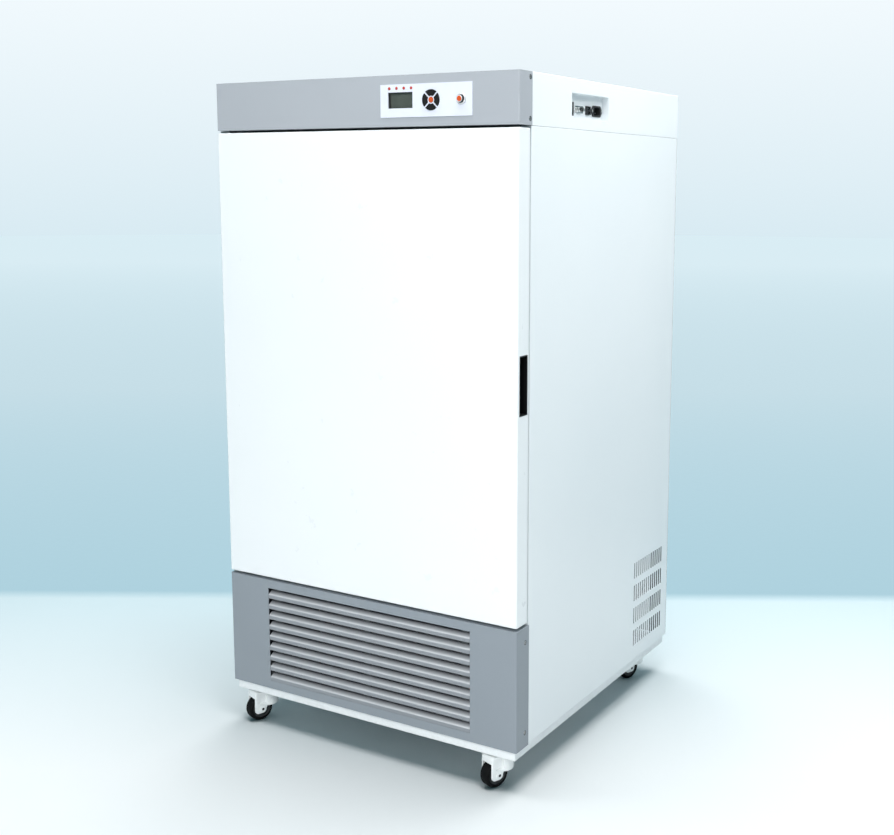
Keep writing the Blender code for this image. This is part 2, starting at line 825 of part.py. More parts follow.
def shelves():
    """Two open shelves: a frame with bars from front to back."""
    half = CHAMBER_WIDTH / 2 - SHELF_PLAY
    front = SHELF_FRONT
    back = DUCT_FRONT - 2 * SHEET
    inside = 2 * (half - SHELF_FRAME_WIDTH)
    slot = (inside - (SHELF_BARS - 1) * SHELF_BAR) / SHELF_BARS
    for name, height in zip(("shelf_lower", "shelf_upper"), SHELF_HEIGHTS):
        foot = FLOOR_OF_CHAMBER + height
        made = plain_box(name, (-half, front, foot), (half, back, foot + SHELF_THICKNESS), STEEL)

        def slots(bm, foot=foot):
            for i in range(SHELF_BARS):
                start = -half + SHELF_FRAME_WIDTH + i * (slot + SHELF_BAR)
                add_box(
                    bm,
                    (start, front + SHELF_FRAME_WIDTH, foot - SHELF_THICKNESS),
                    (start + slot, back - SHELF_FRAME_WIDTH, foot + 2 * SHELF_THICKNESS),
                )

        cut(made, name + "_cutter", slots)


def duct_panel():
    half = CHAMBER_WIDTH / 2 - GAP
    made = pan(
        "duct_panel",
        (-half, DUCT_FRONT, FLOOR_OF_CHAMBER + DUCT_INLET),
        (half, DUCT_FRONT + DUCT_FLANGE, ROOF_OF_CHAMBER - GAP),
        DUCT_SHEET, 1, True, STEEL,
    )

    def holes(bm):
        centre = (0.0, ROOF_OF_CHAMBER - DUCT_FAN_BELOW_ROOF)
        radius = CHAMBER_FAN_SIZE / 2 - FAN_RIM
        start, end = DUCT_FRONT - SHEET, DUCT_FRONT + 2 * SHEET
        add_prism(bm, circle(centre, radius, FINE_ROUND), start, end, along_y)
        for i in range(DUCT_SLOTS):
            z = centre[1] - radius - (i + 1) * DUCT_SLOT_PITCH
            for x in (-DUCT_SLOT_X, DUCT_SLOT_X):
                slot = rectangle(DUCT_SLOT_WIDTH, DUCT_SLOT_HEIGHT, (x, z))
                add_prism(bm, slot, start, end, along_y)

    cut(made, "duct_cutter", holes)


def fin_block(name, size, fins, centre_x, back, foot):
    """Fins standing forward from one root plate."""
    width, depth, height = size
    left = centre_x - width / 2
    gap = (width - fins * FIN_THICKNESS) / (fins - 1)
    outline = [(left, back), (left, back - depth)]
    for i in range(fins):
        start = left + i * (FIN_THICKNESS + gap)
        end = start + FIN_THICKNESS
        if i:
            outline += [(start, back - FIN_ROOT), (start, back - depth)]
        outline += [(end, back - depth)]
        if i < fins - 1:
            outline += [(end, back - FIN_ROOT)]
    outline += [(left + width, back)]
    bm = bmesh.new()
    add_prism(bm, outline, foot, foot + height, along_z)
    bmesh.ops.recalc_face_normals(bm, faces=bm.faces)
    return finish(name, bm, ALUMINIUM)


def evaporator():
    foot = FLOOR_OF_CHAMBER + EVAPORATOR_ABOVE_FLOOR
    fin_block("evaporator", EVAPORATOR_SIZE, EVAPORATOR_FINS, 0.0, LINER_BACK - GAP, foot)


def temperature_probe():
    """A thin steel sheath held by a clip against the liner's right wall."""
    wall = CHAMBER_WIDTH / 2 - GAP
    z = ROOF_OF_CHAMBER - PROBE_BELOW_ROOF
    back = DUCT_FRONT - SHEET
    bm = bmesh.new()
    centre = (wall - PROBE_BRACKET / 2, z)
    add_prism(bm, circle(centre, PROBE_RADIUS, 12), back - PROBE_LENGTH, back, along_y)
    made = finish("temperature_probe", bm, STEEL, smooth=True)

    def clip(bm):
        add_box(
            bm,
            (wall - PROBE_BRACKET / 2, back - PROBE_BRACKET, z - PROBE_RADIUS / 2),
            (wall, back - PROBE_RADIUS, z + PROBE_RADIUS / 2),
        )

    unite(made, "probe_clip", clip)


def fan(prefix, centre, size, depth, motor_depth, front):
    """A square frame with a motor on spokes, and its bladed rotor in the frame's round bore."""
    x, z = centre
    back = front + depth
    bore = size / 2 - FAN_RIM / 2
    tip = bore - FAN_TIP_PLAY
    motor_front = back - motor_depth
    spoke_front = back - FAN_SPOKE
    frame = plain_box(
        prefix + "_motor",
        (x - size / 2, front, z - size / 2),
        (x + size / 2, back, z + size / 2),
        BLACK,
    )

    def bore_hole(bm):
        add_prism(bm, circle(centre, bore, FINE_ROUND), front - depth, back + depth, along_y)

    def motor(bm):
        add_prism(bm, circle(centre, FAN_HUB_RADIUS), motor_front, back, along_y)

    def shaft(bm):
        hub_front = front + FAN_SPOKE
        add_prism(bm, circle(centre, FAN_SHAFT_RADIUS, 12), hub_front, back - FAN_SPOKE, along_y)

    def spokes(bm):
        reach = size / 2 - FAN_RIM / 4
        half = FAN_SPOKE / 2
        add_box(bm, (x - reach, spoke_front, z - half), (x + reach, back - GAP, z + half))

    def cross_spokes(bm):
        reach = size / 2 - FAN_RIM / 4
        half = FAN_SPOKE / 2
        add_box(bm, (x - half, spoke_front, z - reach), (x + half, back - GAP, z + reach))

    cut(frame, prefix + "_bore", bore_hole)
    unite(frame, prefix + "_motor_can", motor)
    unite(frame, prefix + "_spokes", spokes)
    unite(frame, prefix + "_cross_spokes", cross_spokes)
    unite(frame, prefix + "_shaft", shaft)

    axis = axis_empty(prefix + "_axis", (x, front, z))
    hub_back = motor_front - 4 * GAP
    hub_front = front + FAN_SPOKE / 2
    hole = FAN_SHAFT_RADIUS + FAN_SHAFT_PLAY
    bm = bmesh.new()
    outline = [
        (FAN_HUB_RADIUS, hub_front),
        (FAN_HUB_RADIUS, hub_back),
        (hole, hub_back),
        (hole, hub_front),
    ]
    add_turned(bm, outline, ROUND, lambda u, v, w: (x + u, w, z + v))
    rotor = finish(prefix + "_blade", bm, BLACK, axis)

    def blades(bm):
        middle = (hub_front + hub_back) / 2
        reach = (hub_back - hub_front) / 2 - FAN_BLADE_FROM_HUB_END
        half_chord = reach / math.sin(FAN_BLADE_PITCH)
        for i in range(FAN_BLADES):
            start = len(bm.verts)
            add_box(
                bm,
                (FAN_HUB_RADIUS - FAN_RIM / 2, -FAN_BLADE_THICKNESS / 2, -half_chord),
                (tip, FAN_BLADE_THICKNESS / 2, half_chord),
            )
            bm.verts.ensure_lookup_table()
            made = bm.verts[start:]
            pitch = Matrix.Rotation(FAN_BLADE_PITCH, 3, "X")
            around = Matrix.Rotation(2 * math.pi * i / FAN_BLADES, 3, "Y")
            bmesh.ops.rotate(bm, verts=made, matrix=pitch, cent=(0, 0, 0))
            bmesh.ops.rotate(bm, verts=made, matrix=around, cent=(0, 0, 0))
            bmesh.ops.translate(bm, verts=made, vec=(x, middle, z))

    unite(rotor, prefix + "_blades", blades)


# Machine compartment

def condenser():
    back = FRONT + CONDENSER_FROM_FRONT + CONDENSER_SIZE[1]
    fin_block("condenser", CONDENSER_SIZE, CONDENSER_FINS, 0.0, back, COMPARTMENT_FOOT)
    return back


def compressor():
    """A hermetic shell on a foot plate with four rubber feet."""
    x, y = COMPRESSOR_X, BACK - COMPRESSOR_FROM_BACK
    foot = COMPARTMENT_FOOT
    radius, height = COMPRESSOR_RADIUS, COMPRESSOR_HEIGHT
    dome = COMPRESSOR_DOME
    low = foot + COMPRESSOR_FOOT
    bottom = arc((0.0, low + dome), radius, -90, 0, 5)
    profile = [(r, low + dome + (h - low - dome) * dome / radius) for r, h in bottom]
    top_centre = foot + height - dome
    upper = arc((0.0, top_centre), radius, 0, 90, 5)
    profile += [(r, top_centre + (h - top_centre) * dome / radius) for r, h in upper]
    profile = [(max(r, 0.0), h) for r, h in profile]
    bm = bmesh.new()
    add_turned(bm, profile, ROUND, lambda u, v, w: (x + u, y + v, w))
    made = finish("compressor", bm, BLACK_STEEL, smooth=True)

    def plate(bm):
        half = COMPRESSOR_PLATE / 2
        plate_foot = foot + COMPRESSOR_PLATE_UP
        add_box(
            bm,
            (x - half, y - half, plate_foot),
            (x + half, y + half, plate_foot + COMPRESSOR_PLATE_THICKNESS),
        )

    def feet(bm):
        for dx in (-COMPRESSOR_FOOT_SPREAD, COMPRESSOR_FOOT_SPREAD):
            for dy in (-COMPRESSOR_FOOT_SPREAD, COMPRESSOR_FOOT_SPREAD):
                outline = circle((x + dx, y + dy), COMPRESSOR_FOOT_RADIUS, 12)
                add_prism(bm, outline, foot, low, along_z)

    unite(made, "compressor_plate", plate)
    unite(made, "compressor_feet", feet)


# Control panel

def control_plate():
    x, z = PANEL_CENTRE_X, PANEL_CENTRE_Z
    made = plain_box(
        "control_plate",
        (x - PLATE_WIDTH / 2, FRONT - GAP - PLATE_THICKNESS, z - PLATE_HEIGHT / 2),
        (x + PLATE_WIDTH / 2, FRONT - GAP, z + PLATE_HEIGHT / 2),
        LABEL_WHITE,
    )
    boolean(made, control_cutter, "DIFFERENCE")


def lcd_module():
    width, height = LCD_WINDOW
    x, z = PANEL_CENTRE_X + LCD_X, PANEL_CENTRE_Z + LCD_Z
    half_width = width / 2 + LCD_BORDER
    half_height = height / 2 + LCD_BORDER_ENDS
    plain_box(
        "lcd_module",
        (x - half_width, FASCIA_BACK + GAP, z - half_height),
        (x + half_width, FASCIA_BACK + GAP + LCD_THICKNESS, z + half_height),
        LCD_GLASS,
    )


def indicator_lamps():
    """Four lenses on one moulded bar behind the fascia."""
    x, z = PANEL_CENTRE_X, PANEL_CENTRE_Z + LAMP_Z
    half = (LAMP_COUNT - 1) / 2 * LAMP_PITCH + 2 * LAMP_RADIUS
    made = plain_box(
        "indicator_lamps",
        (x + LCD_X - half, FASCIA_BACK + GAP, z - LAMP_RADIUS),
        (x + LCD_X + half, FASCIA_BACK + GAP + LAMP_BAR, z + LAMP_RADIUS),
        RED_LENS,
    )

    def lenses(bm):
        front = FRONT - GAP - PLATE_THICKNESS - LAMP_PROUD
        for i in range(LAMP_COUNT):
            centre = (x + lamp_x(i), z)
            end = FASCIA_BACK + GAP + LAMP_BAR / 2
            add_prism(bm, circle(centre, LAMP_RADIUS, 12), front, end, along_y)

    unite(made, "lamp_lenses", lenses)


def keys():
    front = FRONT - GAP - PLATE_THICKNESS - KEY_PROUD
    pad = Vector((PANEL_CENTRE_X + PAD_X, front, PANEL_CENTRE_Z))
    middle = (PAD_RADIUS + PAD_HOLE_RADIUS) / 2
    for turn, name in enumerate(("key_right", "key_up", "key_left", "key_down")):
        angle = math.radians(90 * turn)
        axis = axis_empty(
            name + "_axis", pad + Vector((middle * math.cos(angle), 0, middle * math.sin(angle)))
        )
        bm = bmesh.new()
        add_prism(bm, key_outline(turn), front, front + KEY_LENGTH, along_y)
        bmesh.ops.recalc_face_normals(bm, faces=bm.faces)
        finish(name, bm, BLACK, axis)
    axis = axis_empty("key_ok_axis", pad)
    bm = bmesh.new()
    add_prism(bm, circle((pad.x, pad.z), OK_RADIUS, 16), front, front + KEY_LENGTH, along_y)
    bmesh.ops.recalc_face_normals(bm, faces=bm.faces)
    finish("key_ok", bm, ORANGE, axis, smooth=True)


def power_switch():
    x, z = PANEL_CENTRE_X + POWER_X, PANEL_CENTRE_Z
    plate_front = FRONT - GAP - PLATE_THICKNESS - GAP
    flange_front = plate_front - POWER_FLANGE
    profile = [
        (POWER_FLANGE_RADIUS, plate_front),
        (POWER_BARREL_RADIUS, plate_front),
        (POWER_BARREL_RADIUS, plate_front + POWER_BARREL),
        (0.0, plate_front + POWER_BARREL),
        (0.0, flange_front + POWER_BORE_DEPTH),
        (POWER_BORE_RADIUS, flange_front + POWER_BORE_DEPTH),
        (POWER_BORE_RADIUS, flange_front),
        (POWER_FLANGE_RADIUS - POWER_FLANGE / 3, flange_front),
        (POWER_FLANGE_RADIUS, flange_front + POWER_FLANGE / 3),
    ]

    def turn_to_front(u, v, w):
        return (x + u, w, z + v)

    bm = bmesh.new()
    add_turned(bm, profile, ROUND, turn_to_front)
    finish("power_bezel", bm, BLACK, smooth=True)
    cap_front = flange_front - POWER_CAP_PROUD
    axis = axis_empty("power_button_axis", (x, cap_front, z))
    edge = POWER_CAP_RADIUS / 5
    cap = [
        (0.0, cap_front),
        (POWER_CAP_RADIUS - edge, cap_front),
        (POWER_CAP_RADIUS, cap_front + edge),
        (POWER_CAP_RADIUS, cap_front + POWER_CAP_LENGTH),
        (0.0, cap_front + POWER_CAP_LENGTH),
    ]
    bm = bmesh.new()
    add_turned(bm, cap, ROUND, turn_to_front)
    finish("power_button", bm, ORANGE, axis, smooth=True)


def controller_board():
    width, thickness, height = BOARD_SIZE
    x = PANEL_CENTRE_X + BOARD_X
    front = FASCIA_BACK + GAP + LCD_THICKNESS + GAP
    made = plain_box(
        "controller_board",
        (x - width / 2, front, PANEL_CENTRE_Z - height / 2),
        (x + width / 2, front + thickness, PANEL_CENTRE_Z + height / 2),
        BOARD_GREEN,
    )

    def parts(bm):
        back = front + thickness
        for dx, dz, w, h in BOARD_CHIPS:
            add_box(
                bm,
                (x + dx - w / 2, back - thickness / 2, PANEL_CENTRE_Z + dz - h / 2),
                (x + dx + w / 2, back + BOARD_CHIP_HEIGHT, PANEL_CENTRE_Z + dz + h / 2),
            )

    unite(made, "board_parts", parts)


# Connector pocket

def socket_centre(y):
    return (POCKET_START + y, POCKET_FOOT + SOCKET_ROW_Z)


def connector_pocket():
    """A shallow box behind the opening in the cover, with a flange spot-welded to the cover's inside."""
    skin = SIDE - SHEET - GAP
    back = POCKET_BACK_FACE
    end = POCKET_START + POCKET_LENGTH
    top = POCKET_FOOT + POCKET_HEIGHT
    edge = POCKET_FLANGE
    made = plain_box(
        "connector_pocket",
        (skin - SHEET, POCKET_START - edge, POCKET_FOOT - edge),
        (skin, end + edge, top + edge),
        WHITE,
    )

    def box(bm):
        add_box(
            bm,
            (back - SHEET, POCKET_START - SHEET, POCKET_FOOT - SHEET),
            (skin - SHEET / 2, end + SHEET, top + SHEET),
        )

    def hollow(bm):
        add_box(bm, (back, POCKET_START, POCKET_FOOT), (SIDE, end, top))

    def socket_holes(bm):
        start, stop = back - 2 * SHEET, back + SHEET
        sockets = (
            (SWITCH_Y, SWITCH_BODY),
            (SERIAL_Y, SERIAL_SHELL),
            (SIGNAL_Y, SIGNAL_SIZE),
            (INLET_Y, INLET_BODY),
        )
        for y, (width, height) in sockets:
            play = 2 * SOCKET_PLAY
            outline = rectangle(width + play, height + play, socket_centre(y))
            add_prism(bm, outline, start, stop, along_x)

    unite(made, "pocket_box", box)
    cut(made, "pocket_hollow", hollow)
    cut(made, "pocket_socket_holes", socket_holes)


def side_switch():
    y, z = socket_centre(SWITCH_Y)
    face = POCKET_BACK_FACE + GAP
    bm = bmesh.new()
    add_prism(bm, rectangle(*SWITCH_BEZEL, (y, z)), face, face + SWITCH_BEZEL_PROUD, along_x)
    made = finish("switch_bezel", bm, BLACK)

    def body(bm):
        end = face + SWITCH_BEZEL_PROUD / 2
        add_prism(bm, rectangle(*SWITCH_BODY, (y, z)), face - SWITCH_BODY_DEPTH, end, along_x)

    def well(bm):
        start = face - SWITCH_WELL_DEPTH
        add_prism(bm, rectangle(*SWITCH_WELL, (y, z)), start, face + 2 * SWITCH_BEZEL_PROUD, along_x)

    unite(made, "switch_body", body)
    cut(made, "switch_well", well)
    pivot = face - ROCKER_PIVOT_DEPTH
    axis = axis_empty("side_rocker_axis", (pivot, y, z))
    outline = arc((z, pivot), ROCKER_RADIUS, ROCKER_EDGE, -180 - ROCKER_EDGE, 14)
    outline += [(z, pivot + ROCKER_NOTCH)]

    def swap(u, v, w):
        return (v, w, u)

    bm = bmesh.new()
    add_prism(bm, outline, y - ROCKER_WIDTH / 2, y + ROCKER_WIDTH / 2, swap)
    bmesh.ops.recalc_face_normals(bm, faces=bm.faces)
    turn = Matrix.Rotation(ROCKER_TILT, 3, "Y")
    bmesh.ops.rotate(bm, verts=bm.verts, cent=(pivot, y, z), matrix=turn)
    finish("side_rocker", bm, BLACK, axis)


def shell_outline(width, height, centre):
    """The D of a connector shell: the lower side is shorter."""
    u, v = centre
    slant = height * SERIAL_SLANT
    return [
        (u - width / 2 + slant, v - height / 2),
        (u + width / 2 - slant, v - height / 2),
        (u + width / 2, v + height / 2),
        (u - width / 2, v + height / 2),
    ]


def serial_port():
    centre = socket_centre(SERIAL_Y)
    face = POCKET_BACK_FACE + GAP
    width, height = SERIAL_SHELL
    wall = SERIAL_SHELL_WALL
    plate = SHEET
    bm = bmesh.new()
    add_prism(bm, rectangle(*SERIAL_FLANGE, centre), face, face + plate, along_x)
    made = finish("serial_port", bm, NICKEL)

    def shell(bm):
        front = face + SERIAL_SHELL_LENGTH
        add_prism(bm, shell_outline(width, height, centre), face - SERIAL_BODY_DEPTH, front, along_x)

    def hollow(bm):
        inside = shell_outline(width - 2 * wall, height - 2 * wall, centre)
        add_prism(bm, inside, face, face + 2 * SERIAL_SHELL_LENGTH, along_x)

    unite(made, "serial_shell", shell)
    cut(made, "serial_hollow", hollow)


def signal_socket():
    y, z = socket_centre(SIGNAL_Y)
    face = POCKET_BACK_FACE + GAP
    width, height = SIGNAL_SIZE
    front = face + SIGNAL_PROUD
    bm = bmesh.new()
    add_prism(bm, rectangle(width, height, (y, z)), face - SIGNAL_BODY_DEPTH, front, along_x)
    made = finish("signal_socket", bm, BLACK)

    def slots(bm):
        for offset in (-height / 4, height / 4):
            outline = rectangle(*SIGNAL_SLOT, (y, z + offset))
            add_prism(bm, outline, front - SIGNAL_SLOT_DEPTH, front + SIGNAL_PROUD, along_x)

    cut(made, "signal_slots", slots)


def chamfered(width, height, corner, centre):
    """A rectangle with its two upper corners cut off."""
    u, v = centre
    return [
        (u - width / 2, v - height / 2),
        (u + width / 2, v - height / 2),
        (u + width / 2, v + height / 2 - corner),
        (u + width / 2 - corner, v + height / 2),
        (u - width / 2 + corner, v + height / 2),
        (u - width / 2, v + height / 2 - corner),
    ]


def mains_inlet():
    y, z = socket_centre(INLET_Y)
    face = POCKET_BACK_FACE + GAP
    front = face + INLET_PROUD
    flange_width, flange_height = INLET_FLANGE
    body_width, body_height = INLET_BODY
    end = flange_height / 2
    outline = [
        (y - flange_width / 2, z),
        (y - body_width / 2, z - end),
        (y + body_width / 2, z - end),
        (y + flange_width / 2, z),
        (y + body_width / 2, z + end),
        (y - body_width / 2, z + end),
    ]
    bm = bmesh.new()
    add_prism(bm, outline, face, front, along_x)
    made = finish("mains_inlet", bm, BLACK)

    def body(bm):
        outline = rectangle(body_width, body_height, (y, z))
        add_prism(bm, outline, face - INLET_BODY_DEPTH, face + INLET_PROUD / 2, along_x)

    def mouth(bm):
        width, height = INLET_MOUTH
        add_prism(
            bm,
            chamfered(width, height, INLET_CORNER, (y, z)),
            front - INLET_MOUTH_DEPTH,
            front + INLET_PROUD,
            along_x,
        )

    def pins(bm):
        wide, tall = INLET_PIN
        start, stop = front - INLET_MOUTH_DEPTH - INLET_PROUD / 2, front - INLET_PIN_RECESS
        for column in (-1, 0, 1):
            dz = tall / 2 if column == 0 else -tall / 2
            centre = (y + column * INLET_PIN_SPREAD, z + dz)
            add_prism(bm, rectangle(wide, tall, centre), start, stop, along_x)

    unite(made, "inlet_body", body)
    cut(made, "inlet_mouth", mouth)
    unite(made, "inlet_pins", pins)


# Door

def grip_centre():
    return (FRONT + GRIP_FROM_FRONT + GRIP_WIDTH / 2, DOOR_FOOT + GRIP_ABOVE_DOOR_FOOT)


def door():
    hinge = axis_empty("door_axis", (HINGE_X, HINGE_Y, (DOOR_FOOT + DOOR_TOP) / 2))
    half = WIDTH / 2 - DOOR_INSET
    back = FRONT + DOOR_THICKNESS
    skin = pan(
        "door_skin", (-half, FRONT, DOOR_FOOT), (half, back, DOOR_TOP), SHEET, 1, True, WHITE, hinge
    )
    inner = half - SHEET - GAP
    low, high = DOOR_FOOT + SHEET + GAP, DOOR_TOP - SHEET - GAP
    liner_front = back - DOOR_LINER_SHEET
    foam = plain_box(
        "door_foam", (-inner, FRONT + SHEET + GAP, low), (inner, liner_front - GAP, high), FOAM, hinge
    )
    plain_box("door_liner", (-inner, liner_front, low), (inner, back, high), PALE_PLASTIC, hinge)

    def pin_holes(bm):
        radius = HINGE_PIN_RADIUS + HINGE_PIN_PLAY
        deep = HINGE_PIN_REACH + 2 * HINGE_PIN_PLAY
        for start, end in ((DOOR_FOOT - SHEET, DOOR_FOOT + deep), (DOOR_TOP - deep, DOOR_TOP + SHEET)):
            add_prism(bm, circle((HINGE_X, HINGE_Y), radius), start, end, along_z)

    pin_cutter = helper("hinge_pin_cutter", pin_holes)
    boolean(skin, pin_cutter, "DIFFERENCE")
    boolean(foam, pin_cutter, "DIFFERENCE")

    y, z = grip_centre()

    def grip_hole(bm):
        outline = rectangle(GRIP_WIDTH, GRIP_HEIGHT, (y, z))
        add_prism(bm, outline, half - GRIP_DEPTH - 2 * GAP, half + SHEET, along_x)

    grip_cutter = helper("grip_cutter", grip_hole)
    boolean(skin, grip_cutter, "DIFFERENCE")
    boolean(foam, grip_cutter, "DIFFERENCE")
    pan(
        "handle_grip",
        (half - GRIP_DEPTH, y - GRIP_WIDTH / 2 + GAP, z - GRIP_HEIGHT / 2 + GAP),
        (half + GAP, y + GRIP_WIDTH / 2 - GAP, z + GRIP_HEIGHT / 2 - GAP),
        GRIP_WALL, 0, True, BLACK, hinge,
    )

    outer = CHAMBER_WIDTH / 2 + GASKET_FROM_MOUTH
    foot = FLOOR_OF_CHAMBER - GASKET_FROM_MOUTH_ENDS
    top = ROOF_OF_CHAMBER + GASKET_FROM_MOUTH_ENDS
    seal_front, seal_back = back + GAP, CABINET_FRONT - GAP
    seal = plain_box("door_gasket", (-outer, seal_front, foot), (outer, seal_back, top), SEAL, hinge)
    width = GASKET_WIDTH

    def seal_middle(bm):
        add_box(
            bm,
            (-outer + width, seal_front - width, foot + width),
            (outer - width, seal_back + width, top - width),
        )

    cut(seal, "gasket_cutter", seal_middle)


def hinge_brackets():
    """A leaf beyond each end of the door carries a pin; its turned end lies on the cabinet front."""
    half_width = HINGE_LEAF_WIDTH / 2
    leaf_front = HINGE_Y - half_width
    leaf_back = CABINET_FRONT - GAP
    for name, sign, door_end, stop in (
        ("hinge_bracket_top", 1, DOOR_TOP, SEAM),
        ("hinge_bracket_bottom", -1, DOOR_FOOT, LOWER_FASCIA_TOP),
    ):
        middle = (door_end + stop) / 2
        near, far = middle - sign * HINGE_LEAF / 2, middle + sign * HINGE_LEAF / 2
        bm = bmesh.new()
        add_box(
            bm,
            (HINGE_X - half_width, leaf_front, min(near, far)),
            (HINGE_X + half_width, leaf_back, max(near, far)),
        )
        made = finish(name, bm, ZINC)
        end = near - sign * HINGE_BACK_LEAF_HEIGHT

        def back_leaf(bm, end=end, far=far):
            add_box(
                bm,
                (HINGE_X - half_width, leaf_back - HINGE_BACK_LEAF, min(end, far)),
                (HINGE_X + half_width, leaf_back, max(end, far)),
            )

        def pin(bm, middle=middle, door_end=door_end, sign=sign):
            tip = door_end - sign * HINGE_PIN_REACH
            start, finish_z = sorted((middle, tip))
            add_prism(bm, circle((HINGE_X, HINGE_Y), HINGE_PIN_RADIUS), start, finish_z, along_z)

        unite(made, name + "_back_leaf", back_leaf)
        unite(made, name + "_pin", pin)


# Casters

def caster_local(place):
    """Turns (forward, across, up) of a caster into the cabinet's frame."""
    sin, cos = math.sin(CASTER_HEADING), math.cos(CASTER_HEADING)

    def turned(u, v, w):
        return (place[0] - u * sin + v * cos, place[1] - u * cos - v * sin, w)

    return turned


def fork_side():
    """The fork from the side: crown, skirt behind, and a leg down to the axle boss."""
    crown = CASTER_CROWN
    boss = (TRAIL, WHEEL_RADIUS)
    outline = [(-2 * FORK_RADIUS, crown + FORK_CROWN), (-2 * FORK_RADIUS, FORK_SKIRT_FOOT)]
    outline += [(TRAIL - FORK_LEG_BACK, FORK_SKIRT_FOOT - FORK_WALL)]
    outline += arc(boss, FORK_BOSS, 200, 370, 8)
    outline += [(FORK_ARCH_FRONT, crown), (FORK_ARCH_FRONT, crown + FORK_CROWN)]
    return outline


def fork_lip():
    """The rim of the front arch from the side, leaning forward as it comes down to the axle."""
    low_front, low = arc((TRAIL, WHEEL_RADIUS), FORK_BOSS, 10, 10, 1)[0]
    return [
        (FORK_ARCH_FRONT - FORK_LIP, CASTER_CROWN),
        (low_front - FORK_LIP, low),
        (low_front, low),
        (FORK_ARCH_FRONT, CASTER_CROWN),
    ]


